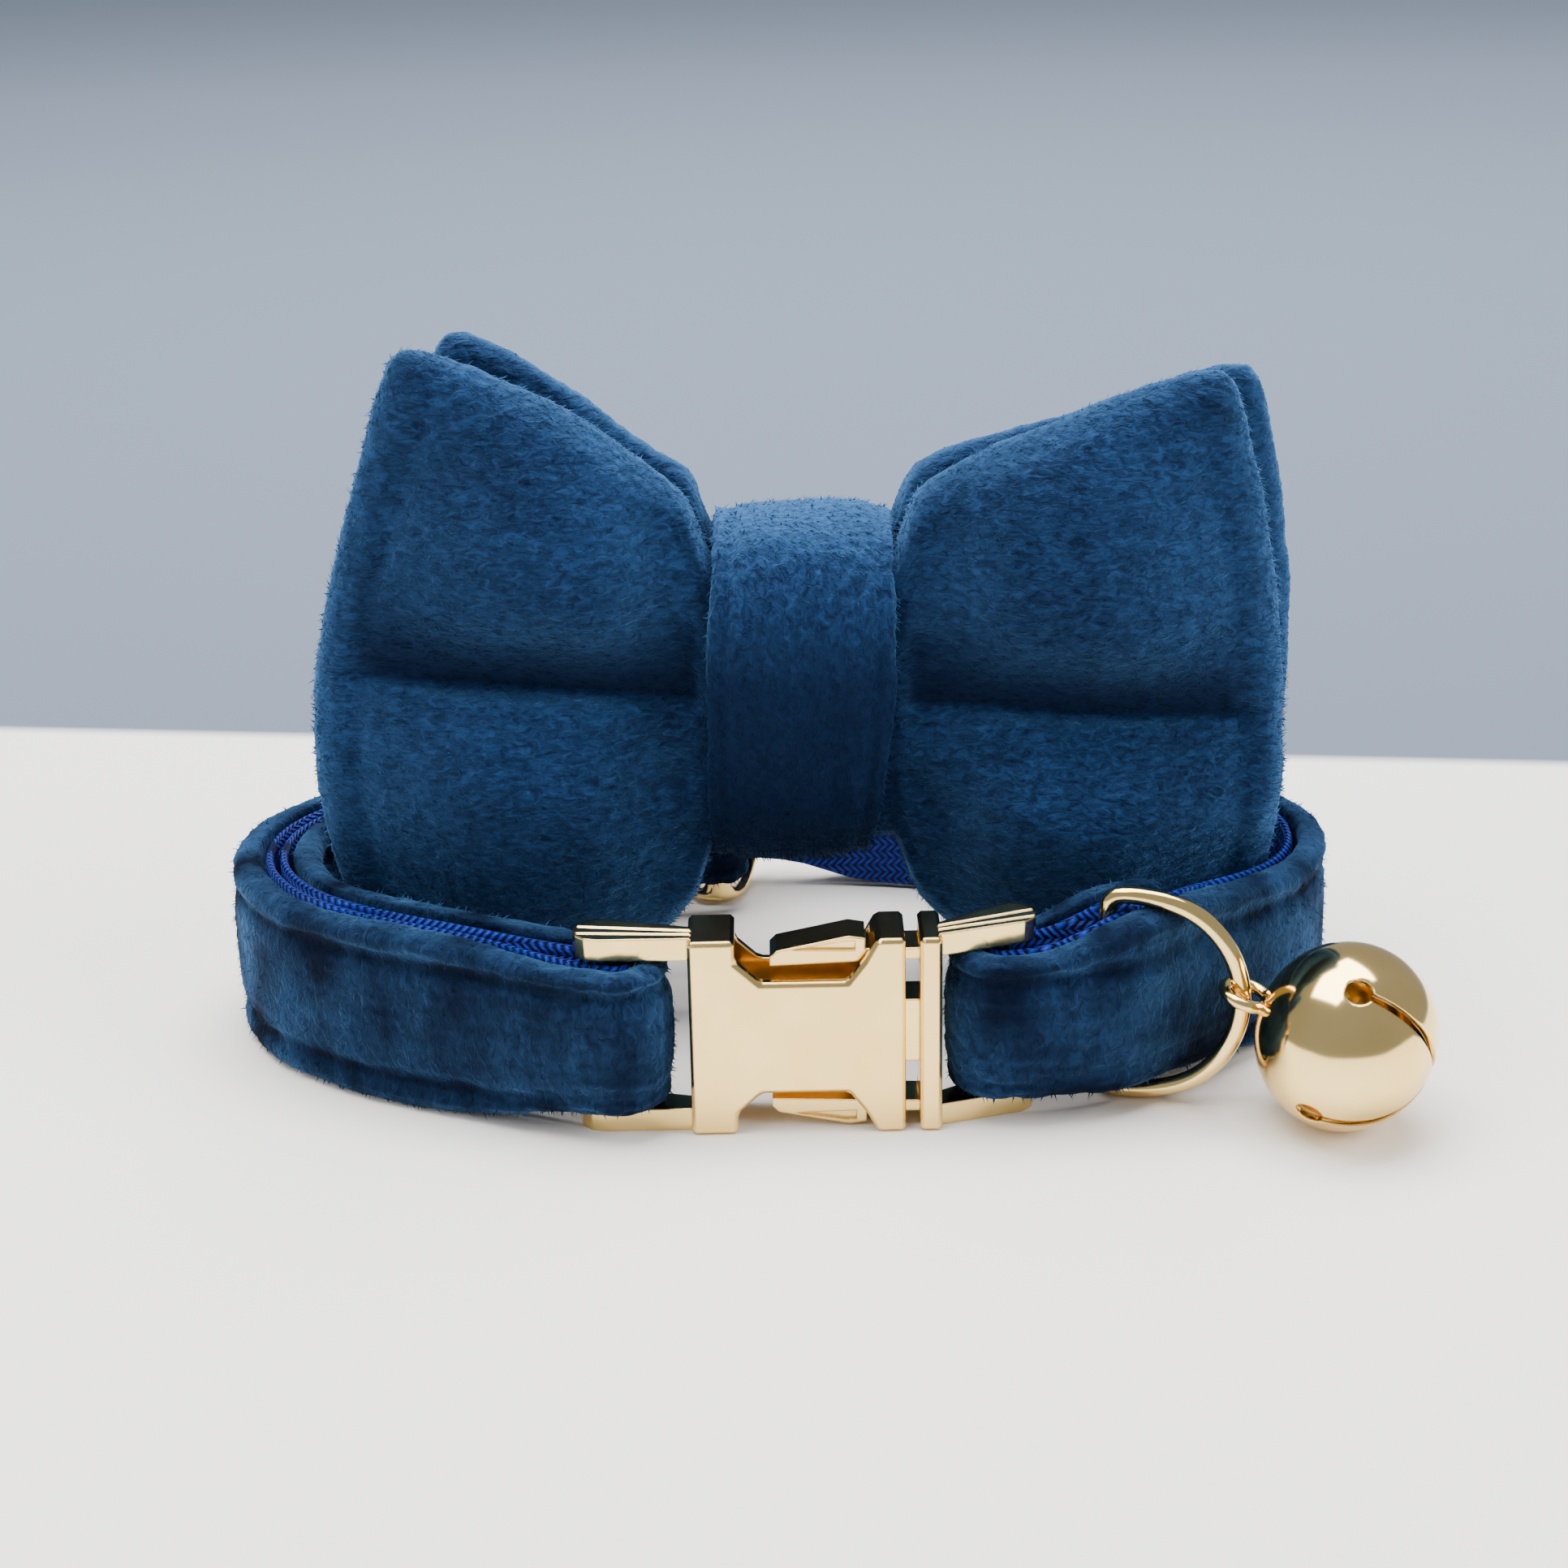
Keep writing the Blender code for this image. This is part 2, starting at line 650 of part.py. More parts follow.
def build_male(parts, gold, helpers):
    """Front bar, recessed neck, centre tongue inside the female half, and the strap frame."""
    bar_right = MALE_BODY_X + MALE_BAR_WIDTH
    low, high = (MALE_BODY_X, 0, 0), (bar_right, BUCKLE_DEPTH, BUCKLE_HEIGHT)
    body = object_from("male_buckle", box_mesh("male_buckle", low, high), parts, gold)
    soften(body, BUCKLE_EDGE)
    tongue_left = -FEMALE_WIDTH / 2 + EAR_WIDTH + RUNNING_CLEARANCE
    inset = BUCKLE_WALL + RUNNING_CLEARANCE
    tongue_half = BUCKLE_HEIGHT * TONGUE_HALF_SHARE
    low = (tongue_left, inset, BUCKLE_MIDDLE - tongue_half)
    high = (MALE_BODY_X + MALE_BAR_WIDTH / 2, BUCKLE_DEPTH - inset, BUCKLE_MIDDLE + tongue_half)
    combine(body, box_mesh("tongue", low, high), "UNION", helpers)
    for upper in (True, False):
        pivot = lever_pivot(upper)
        room = LEVER_PIN_RADIUS + RUNNING_CLEARANCE
        lowest = pivot.z - room if upper else BUCKLE_WALL - CLEARANCE
        highest = BUCKLE_HEIGHT - BUCKLE_WALL + CLEARANCE if upper else pivot.z + room
        low = (MALE_BODY_X - 1 * MM, BUCKLE_DEPTH / 2 - LEVER_DEPTH / 2 - RUNNING_CLEARANCE, lowest)
        high = (pivot.x + room, BUCKLE_DEPTH / 2 + LEVER_DEPTH / 2 + RUNNING_CLEARANCE, highest)
        combine(body, box_mesh("pocket", low, high), "DIFFERENCE", helpers)
    add_strap_frame(body, bar_right, bar_right + MALE_RAIL_REACH, MALE_SLANT, MALE_BAR, helpers)
    body.data.shade_flat()


def lever_outline(pivot, outwards):
    """Side view of a lever: a pin end, a thin arm and the barb whose shoulder holds the catch."""
    shoulder = FEMALE_WIDTH / 2 - RIGHT_EAR_WIDTH - RUNNING_CLEARANCE
    tip = shoulder - LEVER_BARB_LENGTH
    half = LEVER_ARM / 2
    top = half + LEVER_BARB
    profile = (
        (pivot.x, -half), (tip, -half - 0.5 * MM), (tip, -half + 0.3 * MM), (tip + 0.6 * MM, half - 0.1 * MM),
        (shoulder - 1.5 * MM, top), (shoulder, top - 0.25 * MM), (shoulder, half), (pivot.x, half),
    )
    return [(x, pivot.z + outwards * z) for x, z in profile]


def build_lever(name, upper, parts, gold, helpers):
    pivot = lever_pivot(upper)
    outwards = 1 if upper else -1
    outline = [(x - pivot.x, z - pivot.z) for x, z in lever_outline(pivot, outwards)]
    front, back = -LEVER_DEPTH / 2, LEVER_DEPTH / 2
    lever = object_from(name, prism_mesh(name, outline, front, back), parts, gold)
    lever.location = pivot
    pin = cylinder_mesh("pin", LEVER_PIN_RADIUS, (0, front, 0), (0, back, 0), 14)
    helper = combine(lever, pin, "UNION", helpers)
    helper.location = pivot
    shoulder = FEMALE_WIDTH / 2 - RIGHT_EAR_WIDTH - RUNNING_CLEARANCE - pivot.x
    half = LEVER_ARM / 2
    recess = (
        (shoulder - LEVER_BARB_LENGTH * 0.78, half + LEVER_BARB * 0.02), (shoulder - 0.9 * MM, half - 0.1 * MM),
        (shoulder - 0.9 * MM, half + LEVER_BARB * 0.62), (shoulder - 1.7 * MM, half + LEVER_BARB * 0.62),
    )
    outline = [(x, outwards * z) for x, z in recess]
    groove = prism_mesh("recess", outline, front - LEVER_GROOVE, front + LEVER_GROOVE)
    helper = combine(lever, groove, "DIFFERENCE", helpers)
    helper.location = pivot


# D-ring, bell and slider

def ring_points():
    """Centre line of the D-ring's wire: a straight bar and an arc, in an upright plane."""
    half = (RING_HEIGHT - RING_WIRE) / 2
    reach = RING_REACH - RING_WIRE
    corner = RING_CORNER
    flat = [(0, half - corner), (corner * 0.3, half - corner * 0.3), (corner, half)]
    steps = 9
    for step in range(1, steps):
        angle = math.pi / 2 - math.pi * step / steps
        straight = reach - half * 0.95
        flat.append((straight + half * 0.95 * math.cos(angle), half * math.sin(angle)))
    flat += [(corner, -half), (corner * 0.3, -half + corner * 0.3), (0, -half + corner)]
    way = Vector((math.cos(RING_YAW), math.sin(RING_YAW), 0))
    base = Vector((RING_BAR.x, RING_BAR.y, RING_HEIGHT / 2))
    return [base + way * along + Vector((0, 0, up)) for along, up in flat]


def build_ring(parts, gold):
    mesh = tube_mesh("d_ring", ring_points(), RING_WIRE / 2, True, 1)
    object_from("d_ring", mesh, parts, gold, math.radians(60))


def ring_apex():
    way = Vector((math.cos(RING_YAW), math.sin(RING_YAW), 0))
    return Vector((RING_BAR.x, RING_BAR.y, RING_HEIGHT / 2)) + way * (RING_REACH - RING_WIRE)


def bell_axis():
    level = math.cos(BELL_DROP)
    return Vector((level * math.cos(BELL_YAW), level * math.sin(BELL_YAW), -math.sin(BELL_DROP)))


def bell_centre():
    """The bell rests on the table with its loop round the D-ring's wire."""
    apex = ring_apex()
    extent = math.hypot(BELL_LENGTH / 2 * math.cos(BELL_DROP), BELL_DIAMETER / 2 * math.sin(BELL_DROP))
    apart = extent + RING_WIRE / 2 + 1.5 * CLEARANCE
    x = apex.x + apart * math.cos(BELL_YAW)
    return Vector((x, apex.y + apart * math.sin(BELL_YAW), BELL_DIAMETER / 2))


def bell_matrix():
    up = bell_axis()
    towards_viewer = Vector((0, -0.62, 0.79))
    across = (towards_viewer - up * towards_viewer.dot(up)).normalized()
    side = up.cross(across)
    turn = Matrix((across, side, up)).transposed().to_4x4()
    return Matrix.Translation(bell_centre()) @ turn


def ball_mesh(name, radius, half_length, segments, rings):
    shape = bmesh.new()
    bmesh.ops.create_uvsphere(shape, u_segments=segments, v_segments=rings, radius=radius)
    bmesh.ops.scale(shape, vec=(1, 1, half_length / radius), verts=shape.verts[:])
    return mesh_from_bmesh(name, shape)


def build_bell(parts, gold, helpers):
    radius, half = BELL_DIAMETER / 2, BELL_LENGTH / 2
    placed = bell_matrix()
    bell = object_from("bell", ball_mesh("bell", radius, half, 20, 12), parts, gold, math.radians(40))
    cuts = [ball_mesh("hollow", radius - BELL_WALL, half - BELL_WALL, 16, 10)]
    outside = radius * 1.2
    slot_end = -half * BELL_SLOT_END_SHARE
    for turn in range(2):
        x, y = (outside, BELL_SLOT / 2) if turn == 0 else (BELL_SLOT / 2, outside)
        cuts.append(box_mesh("slot", (-x, -y, slot_end), (x, y, outside)))
        x, y = (outside, 0) if turn == 0 else (0, outside)
        cuts.append(cylinder_mesh("hole", BELL_HOLE / 2, (-x, -y, slot_end), (x, y, slot_end), 12))
    for mesh in cuts:
        combine(bell, mesh, "DIFFERENCE", helpers).matrix_world = placed
    eye = -half - BELL_LOOP_RADIUS + BELL_WALL
    sideways = Vector((-math.sin(BELL_YAW), math.cos(BELL_YAW), 0))
    level = placed.to_3x3().inverted() @ sideways
    loop = []
    for step in range(14):
        angle = 2 * math.pi * step / 14
        along = eye + BELL_LOOP_RADIUS * math.sin(angle)
        loop.append(Vector((0, 0, along)) + level * BELL_LOOP_RADIUS * math.cos(angle))
    wire = tube_mesh("bell_loop", loop, BELL_LOOP_WIRE / 2, True, 0)
    combine(bell, wire, "UNION", helpers).matrix_world = placed
    bell.matrix_world = placed

    drop = BELL_DIAMETER / 2 - BELL_WALL - CLEARANCE - PELLET_DIAMETER / 2
    mesh = ball_mesh("bell_pellet", PELLET_DIAMETER / 2, PELLET_DIAMETER / 2, 12, 8)
    pellet = object_from("bell_pellet", mesh, parts, gold, math.radians(40))
    pellet.location = bell_centre() - Vector((0, 0, drop))


def build_slider(parts, gold, helpers):
    """An oval ring outside the running ply, and a centre bar inside it that holds the sewn end."""
    running = running_route()
    station = slider_station(running)
    way = directions(running)[station]
    inwards = -left_of(way)
    outer_offset = -(CLOTH_SEAM / 2 + VELVET_THICKNESS * SEWN_SQUASH + CLEARANCE * 2 + SLIDER_WIRE / 2)
    bar_offset = slider_bar_spacing()
    half_width = (SLIDER_WIDTH - SLIDER_WIRE) / 2
    half_height = (SLIDER_HEIGHT - SLIDER_WIRE) / 2

    def placed(along, inward, up):
        spot = running[station] + way * along + inwards * inward
        return Vector((spot.x, spot.y, SLIDER_HEIGHT / 2 + up))

    ring = []
    for step in range(24):
        angle = 2 * math.pi * step / 24
        along = math.copysign(abs(math.cos(angle)) ** 0.62, math.cos(angle))
        up = math.copysign(abs(math.sin(angle)) ** 0.86, math.sin(angle))
        bend = smooth_step((abs(up) - 0.80) / 0.20)
        ring.append(placed(half_width * along, outer_offset + (bar_offset - outer_offset) * bend, half_height * up))
    slider = object_from("slider", tube_mesh("slider", ring, SLIDER_WIRE / 2, True, 1), parts, gold)
    bar = [placed(0, bar_offset, half_height * share) for share in (-1, 1)]
    combine(slider, tube_mesh("slider_bar", bar, SLIDER_WIRE / 2, False, 1), "UNION", helpers)


# Bow tie

def waist_share():
    """Share of a wing's reach that the knot covers."""
    return (KNOT_WIDTH / 2 + CLEARANCE) / (BOW_WIDTH / 2)


def from_knot(out):
    """Share of the way from the knot's edge to the wing's outer side."""
    return max(0.0, (abs(out) - waist_share()) / (1 - waist_share()))


def wing_half_height(out):
    return BOW_HEIGHT / 2 * table_value(WING_EDGES, from_knot(out))


def wing_point(out, row, layer):
    """A place on a bow layer's middle plane, out from -1 to 1 and row from -1 to 1."""
    reach = BOW_WIDTH / 2 * table_value(WING_SIDE, row)
    if layer["rear"]:
        reach *= 0.98 - 0.06 * smooth_step(-row)
    side = math.copysign(1, out)
    waist = waist_share() * BOW_WIDTH / 2
    share = from_knot(out)
    upper = smooth_step(row * 0.8 + 0.5)
    outer = smooth_step(share * 2)
    x = side * (waist + (reach - waist) * share) if share > 0 else out * BOW_WIDTH / 2
    z = wing_half_height(out) * row
    if layer["rear"]:
        x += REAR_TOP_SHIFT * upper * outer
        z *= 1 - (1 - REAR_TOP_SHARE) * upper * outer
    turn = layer["turn"] * outer * upper
    return x * math.cos(turn) + z * math.sin(turn), -x * math.sin(turn) + z * math.cos(turn)


def wing_bulge(out, row, outer_face):
    """How far a layer's face stands off its middle plane."""
    share = from_knot(out)
    rounded = math.sqrt(max(0.0, 1 - abs(row) ** 3))
    edge = WAIST_THICKNESS / 2 * rounded if outer_face else WAIST_THICKNESS / 2
    edge += (WING_EDGE - edge) * smooth_step(share / 0.2)
    edge = max(edge, WING_EDGE * 0.55)
    if not outer_face:
        return min(edge, LAYER_SPACING / 2 - CLEARANCE)
    puff = smooth_step(share / 0.34) * (1 - smooth_step((share - 0.5) / 0.5))
    bulge = edge + WING_PUFF * puff * max(0.0, 1 - abs(row) ** 3.2) ** 0.8
    crease = math.exp(-((row / 0.11) ** 2)) * (1 - smooth_step((share - 0.6) / 0.3)) * smooth_step(share / 0.05)
    bulge -= (bulge - WING_EDGE) * 0.82 * crease
    return bulge * 0.6 if abs(row) == 1.0 else bulge


def bow_rings(layer, inset):
    """Rings round a bow layer, station by station; inset moves the skin into the cloth."""
    waist = waist_share()
    wing = [waist + (1 - waist) * value for value in WING_STATIONS]
    outs = [-value for value in wing[::-1]] + [0.0] + wing
    centre_y = BOW_CENTRE_Y + (LAYER_SPACING / 2 if layer["rear"] else -LAYER_SPACING / 2)
    face = 1 if layer["rear"] else -1
    rings = []
    for out in outs:
        shrunk_out = out * (1 - 2.4 * inset / BOW_WIDTH)
        risen = BOW_HEIGHT / 2 + layer["rise"] - KNOT_CENTRE_Z
        middle_z = KNOT_CENTRE_Z + risen * smooth_step(from_knot(out) * 3)
        ring = []
        for outer_face, rows in ((True, WING_ROWS), (False, WING_ROWS[-2:0:-1])):
            for row in rows:
                shrunk_row = row * (1 - inset / wing_half_height(out))
                x, z = wing_point(shrunk_out, shrunk_row, layer)
                stand = max(wing_bulge(out, row, outer_face) - inset, 0.25 * MM)
                y = centre_y + (face if outer_face else -face) * stand
                ring.append((BOW_CENTRE_X + x, y, middle_z + z))
        rings.append(ring)
    return rings


def build_bow_layer(name, rear, parts, velvet, helpers):
    turn = REAR_LAYER_TURN if rear else FRONT_LAYER_TURN
    rise = REAR_LAYER_RISE if rear else FRONT_LAYER_RISE
    layer = {"rear": rear, "turn": turn, "rise": rise}
    made = object_from(name, loft(name, bow_rings(layer, 0.0)), parts, velvet, math.radians(60))
    combine(made, loft(name + "_hollow", bow_rings(layer, BOW_WALL)), "DIFFERENCE", helpers, "MANIFOLD")
    depth = LAYER_SPACING / 2 if rear else -LAYER_SPACING / 2
    low = (BOW_CENTRE_X - SLIT_WIDTH / 2, BOW_CENTRE_Y + min(depth, 0), KNOT_CENTRE_Z - SLIT_HEIGHT / 2)
    high = (BOW_CENTRE_X + SLIT_WIDTH / 2, BOW_CENTRE_Y + max(depth, 0), KNOT_CENTRE_Z + SLIT_HEIGHT / 2)
    combine(made, box_mesh("turning_slit", low, high), "DIFFERENCE", helpers, "MANIFOLD")


def oval(steps, half_depth, half_height, power):
    points = []
    for step in range(steps):
        angle = 2 * math.pi * step / steps
        y = math.copysign(abs(math.cos(angle)) ** power, math.cos(angle)) * half_depth
        z = math.copysign(abs(math.sin(angle)) ** power, math.sin(angle)) * half_height
        points.append((y, z))
    return points


def band_mesh(name, half_width, thickness, inner_depth, inner_height, centre, steps, edge):
    """A closed band round X, with softened edges and a slightly crowned outer face."""
    rings = []
    section = ((-1, 0), (-1, 1 - edge), (-0.93, 1), (0, 1.12), (0.93, 1), (1, 1 - edge), (1, 0))
    inner = oval(steps, inner_depth, inner_height, 0.72)
    outer = oval(steps, inner_depth + thickness, inner_height + thickness, 0.72)
    for (y0, z0), (y1, z1) in zip(inner, outer):
        ring = []
        for across, out in section:
            y, z = y0 + (y1 - y0) * out, z0 + (z1 - z0) * out
            ring.append((centre.x + across * half_width, centre.y + y, centre.z + z))
        rings.append(ring)
    return loft(name, rings, closed=True)


def knot_inner_depth():
    return LAYER_SPACING / 2 + WAIST_THICKNESS / 2 + CLEARANCE


def build_knot(parts, velvet):
    centre = Vector((BOW_CENTRE_X, BOW_CENTRE_Y, KNOT_CENTRE_Z))
    inner_height = KNOT_HEIGHT / 2 - KNOT_THICKNESS * 1.12
    mesh = band_mesh("knot_band", KNOT_WIDTH / 2, KNOT_THICKNESS, knot_inner_depth(), inner_height, centre, 28, 0.3)
    object_from("knot_band", mesh, parts, velvet, math.radians(50))


def build_elastic(parts, elastic):
    """Plain loop at the knot's back that the strap can pass through."""
    back = BOW_CENTRE_Y + knot_inner_depth() + KNOT_THICKNESS * 1.12 + CLEARANCE
    half_reach = ELASTIC_REACH / 2
    centre = Vector((BOW_CENTRE_X, back + half_reach + ELASTIC_THICKNESS * 1.12, KNOT_CENTRE_Z))
    mesh = band_mesh(
        "bow_elastic", ELASTIC_WIDTH / 2, ELASTIC_THICKNESS, half_reach,
        ELASTIC_HEIGHT / 2 - ELASTIC_THICKNESS, centre, 20, 0.2,
    )
    object_from("bow_elastic", mesh, parts, elastic, math.radians(50))


def centre_on_origin(parts, helpers):
    """Moves the whole collar so that its box stands on the origin at its middle."""
    bpy.context.view_layer.update()
    graph = bpy.context.evaluated_depsgraph_get()
    low, high = Vector((1, 1, 1)), Vector((-1, -1, -1))
    for item in parts.objects:
        shown = item.evaluated_get(graph)
        for vert in shown.data.vertices:
            spot = shown.matrix_world @ vert.co
            low = Vector(map(min, low, spot))
            high = Vector(map(max, high, spot))
    shift = Vector((-(low.x + high.x) / 2, -(low.y + high.y) / 2, -low.z))
    for item in [*parts.objects, *helpers.objects]:
        item.matrix_world = Matrix.Translation(shift) @ item.matrix_world


def main():
    clear_scene()
    parts = collection_named("pet_bow_tie_collar")
    helpers = collection_named("cutters")
    velvet = material_named("Velvet", (0.012, 0.075, 0.19), 0.0, 0.85)
    webbing = material_named("Webbing", (0.005, 0.02, 0.28), 0.0, 0.6)
    gold = material_named("Gold", (0.83, 0.68, 0.43), 1.0, 0.15)
    elastic = material_named("Elastic", (0.008, 0.02, 0.06), 0.0, 0.8)
    build_strap(parts, velvet, webbing)
    build_female(parts, gold, helpers)
    build_male(parts, gold, helpers)
    build_lever("upper_lever", True, parts, gold, helpers)
    build_lever("lower_lever", False, parts, gold, helpers)
    build_ring(parts, gold)
    build_bell(parts, gold, helpers)
    build_slider(parts, gold, helpers)
    build_bow_layer("bow_front", False, parts, velvet, helpers)
    build_bow_layer("bow_rear", True, parts, velvet, helpers)
    build_knot(parts, velvet)
    build_elastic(parts, elastic)
    centre_on_origin(parts, helpers)


main()
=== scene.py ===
"""Looks for the velvet pet collar with its bow tie: cloth, webbing, gold fittings, stage and camera.

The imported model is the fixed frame. Each operator makes one piece, or a group of like pieces.
"""

import math

import bpy
import numpy as np
from mathutils import Matrix, Vector, noise
from mathutils.bvhtree import BVHTree


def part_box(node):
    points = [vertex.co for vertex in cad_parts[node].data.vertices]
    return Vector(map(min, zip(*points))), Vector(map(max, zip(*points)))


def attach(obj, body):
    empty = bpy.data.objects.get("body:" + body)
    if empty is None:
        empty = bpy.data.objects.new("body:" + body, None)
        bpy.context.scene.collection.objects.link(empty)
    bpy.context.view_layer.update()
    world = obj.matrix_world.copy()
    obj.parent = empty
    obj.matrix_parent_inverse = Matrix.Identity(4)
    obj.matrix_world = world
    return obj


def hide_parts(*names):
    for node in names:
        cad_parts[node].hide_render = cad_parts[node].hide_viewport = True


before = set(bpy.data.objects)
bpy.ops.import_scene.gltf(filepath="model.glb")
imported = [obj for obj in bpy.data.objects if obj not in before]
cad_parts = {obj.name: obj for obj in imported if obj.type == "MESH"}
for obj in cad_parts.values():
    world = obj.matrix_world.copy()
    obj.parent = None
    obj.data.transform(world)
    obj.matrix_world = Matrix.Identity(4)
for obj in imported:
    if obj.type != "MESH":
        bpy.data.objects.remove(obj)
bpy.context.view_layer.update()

MM = 0.001

bl_info = {
    "name": "Bow tie collar",
    "version": (1, 0, 0),
    "blender": (4, 5, 0),
    "location": "View3D > Sidebar > Collar",
    "description": "Makes the cloth, metal and stage of a velvet pet collar with a bow tie",
    "category": "Object",
}

# Outline of the bow's wings, in shares of half its height and of half its width
WING_SIDE_ROWS = (-1.0, -0.8, -0.5, -0.25, 0.05, 0.35, 0.65, 0.85, 1.0)
LEFT_SIDE = (0.860, 0.925, 0.975, 1.000, 0.992, 0.950, 0.890, 0.850, 0.815)
RIGHT_SIDE = (0.860, 0.925, 0.965, 0.985, 0.975, 0.945, 0.895, 0.850, 0.810)
WING_OUT = (0.0, 0.02, 0.05, 0.10, 0.20, 0.33, 0.55, 0.78, 1.0)
WING_TOP = (0.39, 0.50, 0.585, 0.628, 0.690, 0.760, 0.858, 0.940, 1.0)
WING_FOOT = (0.36, 0.50, 0.585, 0.65, 0.750, 0.820, 0.905, 0.965, 1.0)

# Bow tie: its half sizes, its half width inside the knot, and each layer's distance from the middle
BOW_HALF_HEIGHT = 33.2 * MM
BOW_HALF_WIDTH = 47.0 * MM
WAIST = 8.7 * MM
LAYER_SPACING = 5.1 * MM
KNOT_HALF_HEIGHT = 17.4 * MM

# A layer's half thickness at its rim and beside the knot, its puff, and the radius of its rounded rim
RIM_STAND = 2.05 * MM
KNOT_STAND = 3.5 * MM
PUFF = 6.6 * MM
ROLL = 2.5 * MM

# Heights of the strap's two seams above the table
SEAM_HEIGHTS = (15.0 * MM, 3.2 * MM)

# Bell: its size, the slots' height as a share of its half height, its loop, and how it lies
BELL_RADIUS = 8.7 * MM
BELL_HALF_HEIGHT = 8.1 * MM
BELL_WALL = 0.6 * MM
BELL_SLOT_PLACE = -0.06
BELL_LOOP_RADIUS = 2.1 * MM
BELL_LOOP_WIRE = 0.55 * MM
BELL_DROP = math.radians(17)
BELL_YAW = math.radians(-20)

LEAF_HALF_WIDTH = 0.09 * MM
LEAF_ROOT = 0.05 * MM


class CollarSettings(bpy.types.PropertyGroup):
    """Sizes and colours a user would change."""

    # Also the colour that the painted shade mixes the velvet towards
    velvet_dark: bpy.props.FloatVectorProperty(
        name="Velvet, shaded pile", description="Colour between the velvet's tufts",
        subtype="COLOR", size=3, default=(0.0022, 0.0070, 0.024), min=0, max=1,
    )
    velvet_light: bpy.props.FloatVectorProperty(
        name="Velvet, lit pile", description="Colour of the velvet's tufts",
        subtype="COLOR", size=3, default=(0.0120, 0.042, 0.121), min=0, max=1,
    )
    # Painted sheen: this lighter colour is mixed into the velvet where its surface is seen edge on
    velvet_sheen_rim: bpy.props.FloatVectorProperty(
        name="Velvet, rim", description="Colour of the pile seen edge on",
        subtype="COLOR", size=3, default=(0.040, 0.130, 0.30), min=0, max=1,
    )
    webbing_colour: bpy.props.FloatVectorProperty(
        name="Webbing", description="Colour of the woven webbing",
        subtype="COLOR", size=3, default=(0.0020, 0.016, 0.210), min=0, max=1,
    )
    gold_colour: bpy.props.FloatVectorProperty(
        name="Gold", description="Colour of the pale gold plating",
        subtype="COLOR", size=3, default=(1.0, 0.73, 0.29), min=0, max=1,
    )
    pile_length: bpy.props.FloatProperty(
        name="Pile length", description="Length of the velvet's tufts",
        unit="LENGTH", subtype="DISTANCE", default=0.85 * MM, min=0.1 * MM, max=4 * MM,
    )
    pile_depth: bpy.props.FloatProperty(
        name="Pile depth", description="How far the pile's tufts stand out",
        unit="LENGTH", subtype="DISTANCE", default=0.16 * MM, min=0.0, max=1 * MM,
    )
    crease_depth: bpy.props.FloatProperty(
        name="Crease depth", description="Share of the puff that the bow's middle crease takes away",
        subtype="FACTOR", default=0.86, min=0.0, max=1.0,
    )
    floor_colour: bpy.props.FloatVectorProperty(
        name="Table", description="Colour of the table",
        subtype="COLOR", size=3, default=(0.93, 0.905, 0.875), min=0, max=1,
    )
    backdrop_colour: bpy.props.FloatVectorProperty(
        name="Backdrop", description="Colour of the surface behind the table",
        subtype="COLOR", size=3, default=(0.185, 0.225, 0.300), min=0, max=1,
    )


def settings():
    return bpy.context.scene.collar_settings


# Mesh helpers

def deselect_all():
    if bpy.context.object and bpy.context.object.mode != "OBJECT":
        bpy.ops.object.mode_set(mode="OBJECT")
    bpy.ops.object.select_all(action="DESELECT")


def make_active(piece):
    deselect_all()
    piece.select_set(True)
    bpy.context.view_layer.objects.active = piece


def node_box(name):
    """Low corner, high corner and middle of a CAD node."""
    low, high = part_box(name)
    low, high = Vector(low), Vector(high)
    return low, high, (low + high) / 2


def copy_node(node, name):
    """A merged copy of a CAD node, with its triangles paired into quads."""
    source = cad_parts[node]
    piece = bpy.data.objects.new(name, source.data.copy())
    bpy.context.scene.collection.objects.link(piece)
    piece.data.materials.clear()
    make_active(piece)
    bpy.ops.object.mode_set(mode="EDIT")
    bpy.ops.mesh.select_all(action="SELECT")
    bpy.ops.mesh.remove_doubles(threshold=1e-6)
    bpy.ops.mesh.tris_convert_to_quads(face_threshold=math.radians(50), shape_threshold=math.radians(60))
    bpy.ops.object.mode_set(mode="OBJECT")
    return piece


def add_modifier(piece, kind, **values):
    """Adds one modifier with its values and applies it."""
    make_active(piece)
    modifier = piece.modifiers.new(kind.title(), kind)
    for key, value in values.items():
        setattr(modifier, key, value)
    bpy.ops.object.modifier_apply(modifier=modifier.name)


def subdivide(piece, levels):
    add_modifier(piece, "SUBSURF", levels=levels, render_levels=levels, boundary_smooth="ALL")


def coordinates(piece):
    points = np.empty(len(piece.data.vertices) * 3)
    piece.data.vertices.foreach_get("co", points)
    return points.reshape(-1, 3)


def normals(piece):
    values = np.empty(len(piece.data.vertices) * 3)
    piece.data.vertices.foreach_get("normal", values)
    return values.reshape(-1, 3)


def set_coordinates(piece, points):
    piece.data.vertices.foreach_set("co", points.reshape(-1))
    piece.data.update()


def smooth(piece, angle=None):
    make_active(piece)
    if angle is None:
        bpy.ops.object.shade_smooth()
    else:
        bpy.ops.object.shade_smooth_by_angle(angle=math.radians(angle))


def noise_at(points, size, seed=0.0, stretch=(1, 1, 1)):
    """Smooth noise from -1 to 1 with lumps about one size across."""
    scaled = points / size / np.array(stretch)
    return np.array([noise.noise(Vector((x + seed, y - seed, z + 2 * seed))) for x, y, z in scaled])


def push_out(piece, amounts):
    set_coordinates(piece, coordinates(piece) + normals(piece) * amounts[:, None])


